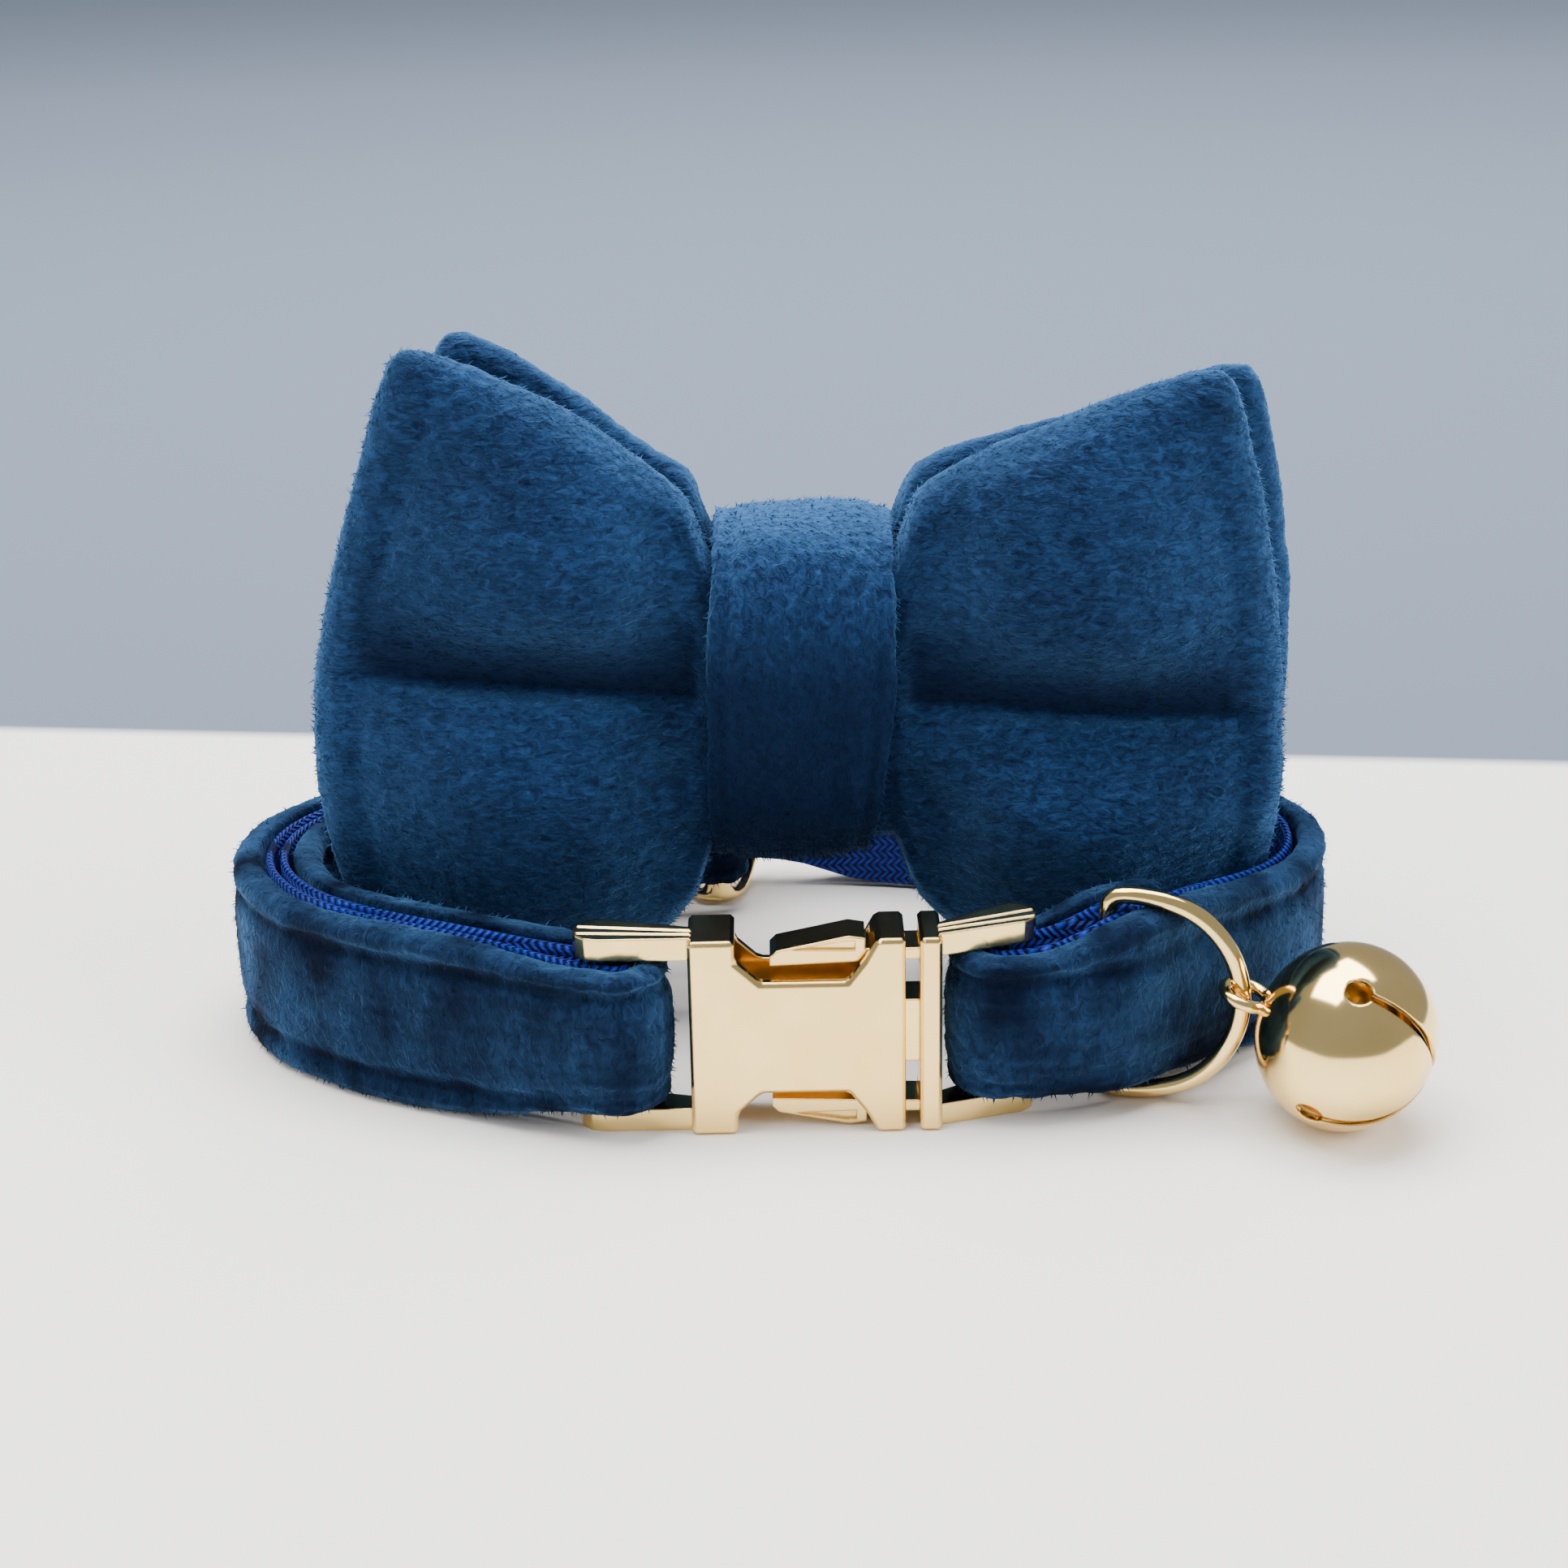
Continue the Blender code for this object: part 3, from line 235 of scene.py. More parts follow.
def raise_pile(piece, seed):
    """Fine tufts and a slow unevenness over a velvet piece."""
    points = coordinates(piece)
    depth = settings().pile_depth
    tufts = noise_at(points, 0.9 * MM, seed, (1.5, 1.0, 0.7))
    lumps = noise_at(points, 6 * MM, seed + 5)
    push_out(piece, depth * tufts + 0.9 * depth * lumps)


def unit(vectors):
    return vectors / np.maximum(np.linalg.norm(vectors, axis=1), 1e-9)[:, None]


def scattered_roots(piece, per_square_mm, dice):
    """Random places on a piece, spread evenly by area, and the way that each place faces."""
    mesh = piece.data
    mesh.calc_loop_triangles()
    count = len(mesh.loop_triangles)
    corners = np.empty(count * 3, dtype=np.int64)
    mesh.loop_triangles.foreach_get("vertices", corners)
    points = coordinates(piece)[corners.reshape(-1, 3)]
    faced = np.cross(points[:, 1] - points[:, 0], points[:, 2] - points[:, 0])
    doubled = np.linalg.norm(faced, axis=1)
    kept = 1.0
    total = int(doubled.sum() / 2 / MM**2 * per_square_mm * kept)
    chosen = dice.choice(count, total, p=doubled / doubled.sum())
    first, second = dice.random((2, total))
    over = first + second > 1
    first[over], second[over] = 1 - first[over], 1 - second[over]
    sides = points[chosen, 1] - points[chosen, 0], points[chosen, 2] - points[chosen, 0]
    root = points[chosen, 0] + first[:, None] * sides[0] + second[:, None] * sides[1]
    return root, faced[chosen] / np.maximum(doubled[chosen, None], 1e-12)


def clear_places(places, other, gap):
    """Which places are more than a gap away from another piece."""
    surface = BVHTree.FromPolygons(
        [vertex.co for vertex in other.data.vertices],
        [face.vertices for face in other.data.polygons],
    )
    return np.array([surface.find_nearest(Vector(place))[3] > gap for place in places])


def pile_leaves(root, up, lay, seed, dice):
    """Three corners for each tuft, and the way it is shaded: mostly like the cloth it stands on."""
    total = len(root)
    along = np.array(lay)
    wander = dice.normal(0, 0.32, (total, 3))
    swirl = noise_at(root, 11 * MM, seed)[:, None]
    lean = along + wander + swirl * along[[2, 1, 0]] * (1, 1, -1)
    lean = unit(lean - up * (lean * up).sum(1)[:, None])
    way = unit(lean * 0.86 + up * dice.uniform(0.25, 0.8, total)[:, None])
    across = unit(np.cross(way, up))
    reach = settings().pile_length * dice.uniform(0.6, 1.25, total)[:, None]
    base = root - up * LEAF_ROOT
    side = across * LEAF_HALF_WIDTH
    leaves = np.stack([base - side, base + side, base + way * reach], 1)
    own = np.cross(across, way)
    own *= np.sign((own * up).sum(1))[:, None]
    return leaves.reshape(-1, 3), np.repeat(0.7 * up + 0.3 * own, 3, axis=0)


def comb_pile(piece, per_square_mm, lay, seed, clear_of=None):
    """Adds short pile tufts, one thin leaf each, that lie along the lay and a little at random."""
    dice = np.random.default_rng(seed)
    root, up = scattered_roots(piece, per_square_mm, dice)
    if clear_of:
        open_side = clear_places(root, clear_of, 0.9 * MM)
        root, up = root[open_side], up[open_side]
    leaves, shading = pile_leaves(root, up, lay, seed, dice)
    shading = unit(np.vstack([normals(piece), shading]))
    pile = bpy.data.meshes.new("pile")
    pile.from_pydata(leaves.tolist(), [], np.arange(len(leaves)).reshape(-1, 3).tolist())
    tufts = bpy.data.objects.new("pile", pile)
    bpy.context.scene.collection.objects.link(tufts)
    make_active(piece)
    tufts.select_set(True)
    bpy.ops.object.join()
    smooth(piece)
    piece.data.normals_split_custom_set_from_vertices(shading.tolist())


def shade_pile(piece, amounts):
    """Keeps the share that mixes the velvet towards its dark colour, one for each vertex: painted shade where
    the pile is turned from the light, and the darker tone of pressed pile.
    """
    attribute = piece.data.attributes.new("pile_shade", "FLOAT", "POINT")
    attribute.data.foreach_set("value", np.clip(amounts, 0, 1).astype(np.float32))


def smooth_step(values, low, high):
    share = np.clip((values - low) / (high - low), 0, 1)
    return share * share * (3 - 2 * share)


def hump(values, width):
    """1 where the values are 0, falling smoothly to nothing on both sides."""
    return np.exp(-((values / width) ** 2))


def curve_value(keys, values, at):
    """Smooth reading of a short table, by averaging straight-line readings."""
    spread = 0.035
    offsets = np.linspace(-spread, spread, 7)
    total = sum(np.interp(np.clip(at + offset, keys[0], keys[-1]), keys, values) for offset in offsets)
    return total / len(offsets)


# Material helpers

def new_material(name):
    material = bpy.data.materials.new(name)
    material.use_nodes = True
    nodes = material.node_tree.nodes
    return material, nodes, material.node_tree.links, nodes["Principled BSDF"]


def new_group(name, inputs, outputs):
    """An empty shader group with float or colour or vector sockets."""
    group = bpy.data.node_groups.new(name, "ShaderNodeTree")
    for label, kind, default in inputs:
        socket = group.interface.new_socket(name=label, in_out="INPUT", socket_type=kind)
        if default is not None:
            socket.default_value = default
    for label, kind in outputs:
        group.interface.new_socket(name=label, in_out="OUTPUT", socket_type=kind)
    start = group.nodes.new("NodeGroupInput")
    end = group.nodes.new("NodeGroupOutput")
    return group, start, end


def math_node(tree, operation, first, second=None):
    node = tree.nodes.new("ShaderNodeMath")
    node.operation = operation
    for slot, value in ((0, first), (1, second)):
        if value is None:
            continue
        if isinstance(value, (int, float)):
            node.inputs[slot].default_value = value
        else:
            tree.links.new(value, node.inputs[slot])
    return node.outputs[0]


def ramp_node(tree, factor, stops):
    node = tree.nodes.new("ShaderNodeValToRGB")
    ramp = node.color_ramp
    while len(ramp.elements) < len(stops):
        ramp.elements.new(0.5)
    for element, (place, colour) in zip(ramp.elements, stops):
        element.position = place
        element.color = (*colour, 1)
    tree.links.new(factor, node.inputs["Fac"])
    return node.outputs["Color"]


def scaled(colour, share):
    return tuple(channel * share for channel in colour)


def pile_group():
    """Short streaky tufts and larger brushed patches of a velvet's pile."""
    name = "pile"
    if name in bpy.data.node_groups:
        return bpy.data.node_groups[name]
    group, start, end = new_group(
        name,
        (("Vector", "NodeSocketVector", None), ("Length", "NodeSocketFloat", 420.0),
         ("Width", "NodeSocketFloat", 1250.0), ("Patches", "NodeSocketFloat", 75.0)),
        (("Tufts", "NodeSocketFloat"), ("Patches", "NodeSocketFloat")),
    )
    scale = group.nodes.new("ShaderNodeCombineXYZ")
    group.links.new(start.outputs["Length"], scale.inputs["X"])
    group.links.new(start.outputs["Length"], scale.inputs["Y"])
    group.links.new(start.outputs["Width"], scale.inputs["Z"])
    stretched = group.nodes.new("ShaderNodeVectorMath")
    stretched.operation = "MULTIPLY"
    group.links.new(start.outputs["Vector"], stretched.inputs[0])
    group.links.new(scale.outputs[0], stretched.inputs[1])
    tufts = group.nodes.new("ShaderNodeTexNoise")
    tufts.inputs["Scale"].default_value = 1.0
    tufts.inputs["Detail"].default_value = 3.0
    tufts.inputs["Roughness"].default_value = 0.6
    tufts.inputs["Distortion"].default_value = 1.1
    group.links.new(stretched.outputs[0], tufts.inputs["Vector"])
    patches = group.nodes.new("ShaderNodeTexNoise")
    patches.inputs["Detail"].default_value = 2.5
    patches.inputs["Distortion"].default_value = 0.4
    group.links.new(start.outputs["Vector"], patches.inputs["Vector"])
    group.links.new(start.outputs["Patches"], patches.inputs["Scale"])
    group.links.new(tufts.outputs["Fac"], end.inputs["Tufts"])
    group.links.new(patches.outputs["Fac"], end.inputs["Patches"])
    return group


def weave_group():
    """Braided ridges of a woven tape, from a place along the tape and one across it."""
    name = "weave"
    if name in bpy.data.node_groups:
        return bpy.data.node_groups[name]
    group, start, end = new_group(
        name,
        (("Vector", "NodeSocketVector", None), ("Pitch", "NodeSocketFloat", 0.85 * MM),
         ("Band", "NodeSocketFloat", 0.8 * MM)),
        (("Height", "NodeSocketFloat"),),
    )
    split = group.nodes.new("ShaderNodeSeparateXYZ")
    group.links.new(start.outputs["Vector"], split.inputs[0])
    along = math_node(group, "DIVIDE", split.outputs["X"], start.outputs["Pitch"])
    folded = math_node(group, "PINGPONG", split.outputs["Y"], start.outputs["Band"])
    slanted = math_node(group, "DIVIDE", folded, start.outputs["Pitch"])
    phase = math_node(group, "MULTIPLY", math_node(group, "ADD", along, slanted), 2 * math.pi)
    ridge = math_node(group, "ABSOLUTE", math_node(group, "SINE", math_node(group, "MULTIPLY", phase, 0.5)))
    valley = math_node(group, "DIVIDE", folded, start.outputs["Band"])
    from_middle = math_node(group, "ABSOLUTE", math_node(group, "SUBTRACT", valley, 0.5))
    dip = math_node(group, "MULTIPLY", from_middle, 0.8)
    group.links.new(math_node(group, "SUBTRACT", ridge, dip), end.inputs["Height"])
    return group


def group_node(tree, group, **values):
    node = tree.nodes.new("ShaderNodeGroup")
    node.node_tree = group
    for key, value in values.items():
        node.inputs[key].default_value = value
    return node


def add_bump(material, shader, height, distance, strength):
    bump = material.node_tree.nodes.new("ShaderNodeBump")
    bump.inputs["Distance"].default_value = distance
    bump.inputs["Strength"].default_value = strength
    material.node_tree.links.new(height, bump.inputs["Height"])
    material.node_tree.links.new(bump.outputs["Normal"], shader.inputs["Normal"])
    return bump


def mixed_colour(tree, factor, first, second):
    """A mix of a colour socket and a plain colour."""
    mix = tree.nodes.new("ShaderNodeMix")
    mix.data_type = "RGBA"
    tree.links.new(factor, mix.inputs["Factor"])
    tree.links.new(first, mix.inputs["A"])
    mix.inputs["B"].default_value = (*second, 1)
    return mix.outputs["Result"]


def velvet_material(name, length, width, patches, painted_brightness):
    """Blue short-pile velvet. Length and width are the tufts' repeats per metre. The painted brightness
    scales its colours and its sheen, so that pieces get lighter and darker copies of it: painted light,
    brighter on the knot and darker on the strap.
    """
    material, nodes, links, shader = new_material(name)
    tree = material.node_tree
    place = nodes.new("ShaderNodeTexCoord")
    pile = group_node(tree, pile_group(), Length=length, Width=width, Patches=patches)
    links.new(place.outputs["Object"], pile.inputs["Vector"])
    slow = math_node(tree, "MULTIPLY", pile.outputs["Patches"], 0.35)
    lit = math_node(tree, "MULTIPLY", math_node(tree, "ADD", pile.outputs["Tufts"], slow), 0.76)
    dark = scaled(settings().velvet_dark, painted_brightness)
    light = scaled(settings().velvet_light, painted_brightness)
    middle = tuple((a + b) * 0.42 for a, b in zip(dark, light))
    base = ramp_node(tree, lit, ((0.35, dark), (0.51, middle), (0.69, light)))
    # Painted sheen: the colour turns towards the lighter rim colour where the surface is seen edge on
    facing = nodes.new("ShaderNodeLayerWeight")
    facing.inputs["Blend"].default_value = 0.22
    rim = mixed_colour(tree, facing.outputs["Facing"], base, scaled(settings().velvet_sheen_rim, painted_brightness))
    # Painted shade: the pile_shade share mixes the colour towards the dark pile colour
    shade = nodes.new("ShaderNodeAttribute")
    shade.attribute_name = "pile_shade"
    links.new(mixed_colour(tree, shade.outputs["Fac"], rim, dark), shader.inputs["Base Color"])
    shader.inputs["Roughness"].default_value = 0.85
    shader.inputs["Specular IOR Level"].default_value = 0.06
    # The painted shade also takes the sheen away where it lies
    unshaded = math_node(tree, "SUBTRACT", 1.0, shade.outputs["Fac"])
    links.new(math_node(tree, "MULTIPLY", unshaded, 0.42 * painted_brightness), shader.inputs["Sheen Weight"])
    shader.inputs["Sheen Roughness"].default_value = 0.35
    shader.inputs["Sheen Tint"].default_value = (0.22, 0.48, 0.95, 1)
    add_bump(material, shader, pile.outputs["Tufts"], 0.45 * MM, 1.0)
    return material


def webbing_material():
    """Blue woven tape. The piece carries where each point lies along and across the tape."""
    material, nodes, links, shader = new_material("webbing")
    tree = material.node_tree
    weave = group_node(tree, weave_group())
    place = nodes.new("ShaderNodeAttribute")
    place.attribute_name = "tape_place"
    links.new(place.outputs["Vector"], weave.inputs["Vector"])
    colour = settings().webbing_colour
    # Painted shade and painted highlight: the weave's valleys are darkened and its ridges lightened,
    # following the same height as the bump
    dark = scaled(colour, 0.18)
    light = tuple(min(1.0, channel * 1.6 + 0.002) for channel in colour)
    base = ramp_node(tree, weave.outputs["Height"], ((0.05, dark), (0.45, tuple(colour)), (0.95, light)))
    links.new(base, shader.inputs["Base Color"])
    shader.inputs["Roughness"].default_value = 0.6
    shader.inputs["Specular IOR Level"].default_value = 0.25
    add_bump(material, shader, weave.outputs["Height"], 0.35 * MM, 1.0)
    return material


def gold_material(name, roughness, unevenness):
    """Polished pale gold plating over cast metal or wire."""
    material, nodes, links, shader = new_material(name)
    tree = material.node_tree
    place = nodes.new("ShaderNodeTexCoord")
    slow = nodes.new("ShaderNodeTexNoise")
    slow.inputs["Scale"].default_value = 160
    slow.inputs["Detail"].default_value = 2
    links.new(place.outputs["Object"], slow.inputs["Vector"])
    gold = settings().gold_colour
    deep = tuple(channel * share for channel, share in zip(gold, (0.94, 0.90, 0.82)))
    base = ramp_node(tree, slow.outputs["Fac"], ((0.35, deep), (0.65, tuple(gold))))
    links.new(base, shader.inputs["Base Color"])
    shader.inputs["Metallic"].default_value = 1.0
    wear = nodes.new("ShaderNodeMapRange")
    wear.inputs["To Min"].default_value = roughness * 0.8
    wear.inputs["To Max"].default_value = roughness * 1.25
    links.new(slow.outputs["Fac"], wear.inputs["Value"])
    links.new(wear.outputs["Result"], shader.inputs["Roughness"])
    rounded = nodes.new("ShaderNodeBevel")
    rounded.samples = 6
    rounded.inputs["Radius"].default_value = 0.28 * MM
    bump = add_bump(material, shader, slow.outputs["Fac"], unevenness, 0.5)
    links.new(rounded.outputs["Normal"], bump.inputs["Normal"])
    return material


def elastic_material():
    """Dark blue ribbed elastic."""
    material, nodes, links, shader = new_material("elastic")
    tree = material.node_tree
    place = nodes.new("ShaderNodeTexCoord")
    ribs = nodes.new("ShaderNodeTexWave")
    ribs.bands_direction = "X"
    ribs.inputs["Scale"].default_value = 330
    links.new(place.outputs["Object"], ribs.inputs["Vector"])
    # Painted shade: the colour darkens in the grooves between the ribs, following the same waves as the bump
    base = ramp_node(tree, ribs.outputs["Fac"], ((0.2, (0.001, 0.004, 0.014)), (0.8, (0.003, 0.014, 0.045))))
    links.new(base, shader.inputs["Base Color"])
    shader.inputs["Roughness"].default_value = 0.8
    shader.inputs["Specular IOR Level"].default_value = 0.15
    add_bump(material, shader, ribs.outputs["Fac"], 0.25 * MM, 0.8)
    return material


def material_once(name, maker, *values):
    """The material of that name, made the first time it is asked for."""
    found = bpy.data.materials.get(name)
    return found if found else maker(name, *values)


def finish_piece(piece, material, replaced):
    """Gives a piece its material, its body and the CAD nodes it stands for."""
    piece.data.materials.clear()
    piece.data.materials.append(material)
    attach(piece, "collar")
    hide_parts(*replaced)


# Bow tie

def spaced(values, power):
    """Spreads grid lines from -1 to 1 so that they gather at the ends."""
    return np.sign(values) * (1 - (1 - np.abs(values)) ** power)


def crease_row(side, share):
    """Height of a wing's middle crease above the bow's middle line, from the knot outwards."""
    return np.where(side < 0, 1.2 * MM + 2.0 * MM * share, 0.4 * MM - 1.4 * MM * share)


def crease_fade(share):
    """How strong the crease is from the knot outwards."""
    return (1 - smooth_step(share, 0.88, 0.98)) * smooth_step(share, 0.0, 0.06)


def crease_shade(piece, layer):
    """Shade over the rolled-under pile just above the crease, in the crease and beside the knot."""
    points = coordinates(piece)
    _, _, knot_mid = node_box("knot_band")
    side = points[:, 0] - knot_mid.x
    share = np.clip((np.abs(side) - WAIST) / (35.5 * MM), 0, 1)
    lift = layer_lift(layer, knot_mid, share)
    turn = layer["turn"] * smooth_step(share, 0, 0.5) * 0.5
    above = points[:, 2] - knot_mid.z - lift + side * turn - crease_row(side, share)
    over = np.where(above > 0, 7.4 * MM, 0.5 * MM)
    fold = hump(above, over) * crease_fade(share)
    beside = hump(np.abs(side) - 8.4 * MM, 1.3 * MM)
    return 0.95 * fold + 0.5 * beside * (1 - fold)


def layer_lift(layer, knot_mid, share):
    """How far the wings stand above the knot's level, so that their lower tips reach the table."""
    return (BOW_HALF_HEIGHT + layer["rise"] - knot_mid.z) * smooth_step(share, 0, 0.33)


def wing_reach(layer, u, v):
    """How far out the wing goes at each row."""
    left, right = curve_value(WING_SIDE_ROWS, LEFT_SIDE, v), curve_value(WING_SIDE_ROWS, RIGHT_SIDE, v)
    reach = np.where(u < 0, left, right) * BOW_HALF_WIDTH
    if layer["rear"]:
        reach = reach * (np.where(u < 0, 0.98, 1.035) - 0.06 * smooth_step(-v, 0, 1))
    return reach


def puffed_stand(layer, grid, flat, share, from_rim):
    """How far the padded outer face stands out, with its gathers, drape, seam and middle crease."""
    u, v = grid
    x, z = flat
    above = z - crease_row(u, share)
    mild = np.where(u < 0, 0.45, 0.62)
    under = (1 - mild) * hump(above, 0.9 * MM) + mild * hump(above, 8.0 * MM)
    crease = np.where(above > 0, hump(above, 5.2 * MM), under) * crease_fade(share)

    body = np.clip(1 - np.abs(v) ** 3.2, 0, 1) ** 0.8
    puff = smooth_step(share, 0, 0.34) * (1 - 0.94 * smooth_step(share, 0.5, 1.0))
    stand = plain_stand(share) + PUFF * puff * body
    gathers = np.cos(v * 17 + 4 * np.sign(u)) * np.exp(-share / 0.13) * smooth_step(share, 0, 0.05)
    stand += 0.55 * MM * gathers * body
    drape = noise_at(np.stack([x, np.full_like(x, layer["seed"]), z], 1), 17 * MM, layer["seed"])
    stand += 0.75 * MM * drape * smooth_step(share, 0.05, 0.3) * body
    swell = hump(above + 10 * MM, 5 * MM) * smooth_step(share, 0.05, 0.4) * body
    stand += np.where(u < 0, 0.5 * MM, 1.5 * MM) * swell
    stand -= 0.30 * MM * hump(from_rim - 4.6 * MM, 1.1 * MM) * body
    return stand - (stand - 2.0 * MM) * settings().crease_depth * crease


def plain_stand(share):
    """Half thickness of a layer before it is puffed."""
    return RIM_STAND + (KNOT_STAND - RIM_STAND) * (1 - smooth_step(share, 0, 0.2))


def bow_layer_face(name, layer, outer, columns, rows):
    """One face of a bow layer: a grid shaped into two wings."""
    deselect_all()
    bpy.ops.mesh.primitive_grid_add(x_subdivisions=columns, y_subdivisions=rows, size=2)
    piece = bpy.context.object
    piece.name = name
    grid = coordinates(piece)
    u, v = spaced(grid[:, 0], 1.25), spaced(grid[:, 1], 1.35)

    # Flat outline
    half_knot = WAIST / BOW_HALF_WIDTH
    share = np.clip((np.abs(u) - half_knot) / (1 - half_knot), 0, 1)
    reach = wing_reach(layer, u, v)
    beyond_knot = np.sign(u) * (WAIST + (reach - WAIST) * share)
    x = np.where(np.abs(u) < half_knot, u * BOW_HALF_WIDTH, beyond_knot)
    top, foot = curve_value(WING_OUT, WING_TOP, share), curve_value(WING_OUT, WING_FOOT, share)
    tall = np.where(v > 0, top, foot) * BOW_HALF_HEIGHT
    z = v * tall
    upper = smooth_step(v * 0.8 + 0.5, 0, 1)
    outer_part = smooth_step(share, 0, 0.5)
    if layer["rear"]:
        x = x + 1.3 * MM * upper * outer_part
        drop = np.where(u < 0, 0.055 + 0.24 * (1 - share) ** 2, -0.015 + 0.07 * (1 - share) ** 2)
        z = z * (1 - drop * upper * outer_part)

    # Thickness, and the cloth above the crease hanging a little over it
    if outer:
        above = z - crease_row(u, share)
        stand = puffed_stand(layer, (u, v), (x, z), share, (1 - share) * (reach - WAIST))
        z = z - 0.8 * MM * hump(above - 1.6 * MM, 2.2 * MM) * crease_fade(share)
    else:
        stand = plain_stand(share)

    # Rounded rim and corners
    side_left = 1 - np.clip((1 - np.abs(u)) * (reach - WAIST) / ROLL, 0, 1)
    end_left = 1 - np.clip((1 - np.abs(v)) * tall / ROLL, 0, 1)
    most = np.maximum(side_left, end_left)
    stand = stand * np.sqrt(np.clip(1 - most**2, 0, 1))
    rounding = 1 - most / np.maximum(np.hypot(side_left, end_left), 1e-9)
    x = x - np.sign(u) * ROLL * side_left * rounding
    z = z - np.sign(v) * ROLL * end_left * rounding

    # The layer's turn and place
    _, _, knot_mid = node_box("knot_band")
    turn = layer["turn"] * upper * outer_part
    facing = 1 if layer["rear"] == outer else -1
    points = np.stack([
        knot_mid.x + x * np.cos(turn) + z * np.sin(turn),
        layer["middle"] + facing * stand,
        knot_mid.z + layer_lift(layer, knot_mid, share) - x * np.sin(turn) + z * np.cos(turn),
    ], 1)
    set_coordinates(piece, points)
    return piece


def bow_layer(name, rear):
    """A bow layer: two faces sewn together round their edge."""
    columns, rows = ((186, 138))
    _, _, knot_mid = node_box("knot_band")
    layer = {
        "rear": rear,
        "middle": knot_mid.y + (LAYER_SPACING if rear else -LAYER_SPACING),
        "turn": math.radians(5.3) if rear else math.radians(2.6),
        "rise": 0.2 * MM if rear else 0.4 * MM,
        "seed": 7.3 if rear else 2.1,
    }
    outer = bow_layer_face(name, layer, True, columns, rows)
    inner = bow_layer_face(name + "_inner", layer, False, columns, rows)
    make_active(outer)
    inner.select_set(True)
    bpy.ops.object.join()
    bpy.ops.object.mode_set(mode="EDIT")
    bpy.ops.mesh.select_all(action="SELECT")
    bpy.ops.mesh.remove_doubles(threshold=2e-6)
    bpy.ops.mesh.normals_make_consistent(inside=False)
    bpy.ops.object.mode_set(mode="OBJECT")
    raise_pile(outer, layer["seed"])
    comb_pile(outer, 4.0, (0.9, 0.0, -0.25), 31 if rear else 30)
    # Painted shade above and in each wing's crease and beside the knot
    shade_pile(outer, crease_shade(outer, layer))
    return outer


class COLLAR_OT_bow(bpy.types.Operator):
    """Make the bow's front and rear layers"""

    bl_idname = "collar.bow"
    bl_label = "Bow layers"

    def execute(self, context):
        velvet = material_once("bow_velvet", velvet_material, 760.0, 1700.0, 75.0, 1.05)
        for name, rear in (("bow_front_cloth", False), ("bow_rear_cloth", True)):
            piece = bow_layer(name, rear)
            finish_piece(piece, velvet, replaced=("bow_rear" if rear else "bow_front",))
        return {"FINISHED"}


class COLLAR_OT_knot(bpy.types.Operator):
    """Make the band round the bow's middle"""

    bl_idname = "collar.knot"
    bl_label = "Knot"

    def execute(self, context):
        piece = copy_node("knot_band", "knot_cloth")
        subdivide(piece, 3)
        _, _, middle = node_box("knot_band")
        points = coordinates(piece)
        height = (points[:, 2] - middle.z) / KNOT_HALF_HEIGHT
        across = points[:, 0] - middle.x
        points[:, 0] = middle.x + across * np.interp(height, (-1, -0.6, 0.1, 1), (0.82, 0.92, 1.0, 0.95))
        points[:, 0] += (0.9 * height - 0.5) * MM
        set_coordinates(piece, points)
        fold = -0.45 * MM * hump(np.abs(across) - 7.35 * MM, 0.55 * MM)
        soft = 0.35 * MM * noise_at(points, 9 * MM, 4.0, (0.7, 1, 2.0))
        push_out(piece, fold + soft)
        raise_pile(piece, 9.0)
        comb_pile(piece, 4.5, (0.3, 0.0, -0.9), 33)
        # Painted shade: the knot darkens towards its bottom, which turns away from the light above
        height = (coordinates(piece)[:, 2] - middle.z) / KNOT_HALF_HEIGHT
        shade_pile(piece, 0.88 * smooth_step(-height, -0.85, -0.1))
        # Painted light: the knot's copy of the velvet is made brighter, for its top that faces the light
        # above
        velvet = material_once("knot_velvet", velvet_material, 1300.0, 800.0, 60.0, 1.35)
        finish_piece(piece, velvet, replaced=("knot_band",))
        return {"FINISHED"}


# Strap

def tape_places(points):
    """Distance along the loop and across the tape, for each point of the strap."""
    low, high, middle = node_box("strap_webbing")
    half = ((high.x - low.x) / 2, (high.y - low.y) / 2)
    turns = np.linspace(-math.pi, math.pi, 721)
    steps = np.hypot(half[0] * np.gradient(np.cos(turns)), half[1] * np.gradient(np.sin(turns)))
    lengths = np.concatenate([[0], np.cumsum(steps)[:-1]])
    angle = np.arctan2((points[:, 1] - middle.y) / half[1], (points[:, 0] - middle.x) / half[0])
    along = np.interp(angle, turns, lengths)
    ring = np.hypot(half[0] * np.cos(angle), half[1] * np.sin(angle))
    outwards = np.hypot(points[:, 0] - middle.x, points[:, 1] - middle.y) - ring
    return along, points[:, 2] + outwards


def seams(heights, width):
    """1 on the strap's two seams, falling to nothing beside them."""
    return hump(heights - SEAM_HEIGHTS[0], width) + hump(heights - SEAM_HEIGHTS[1], width)


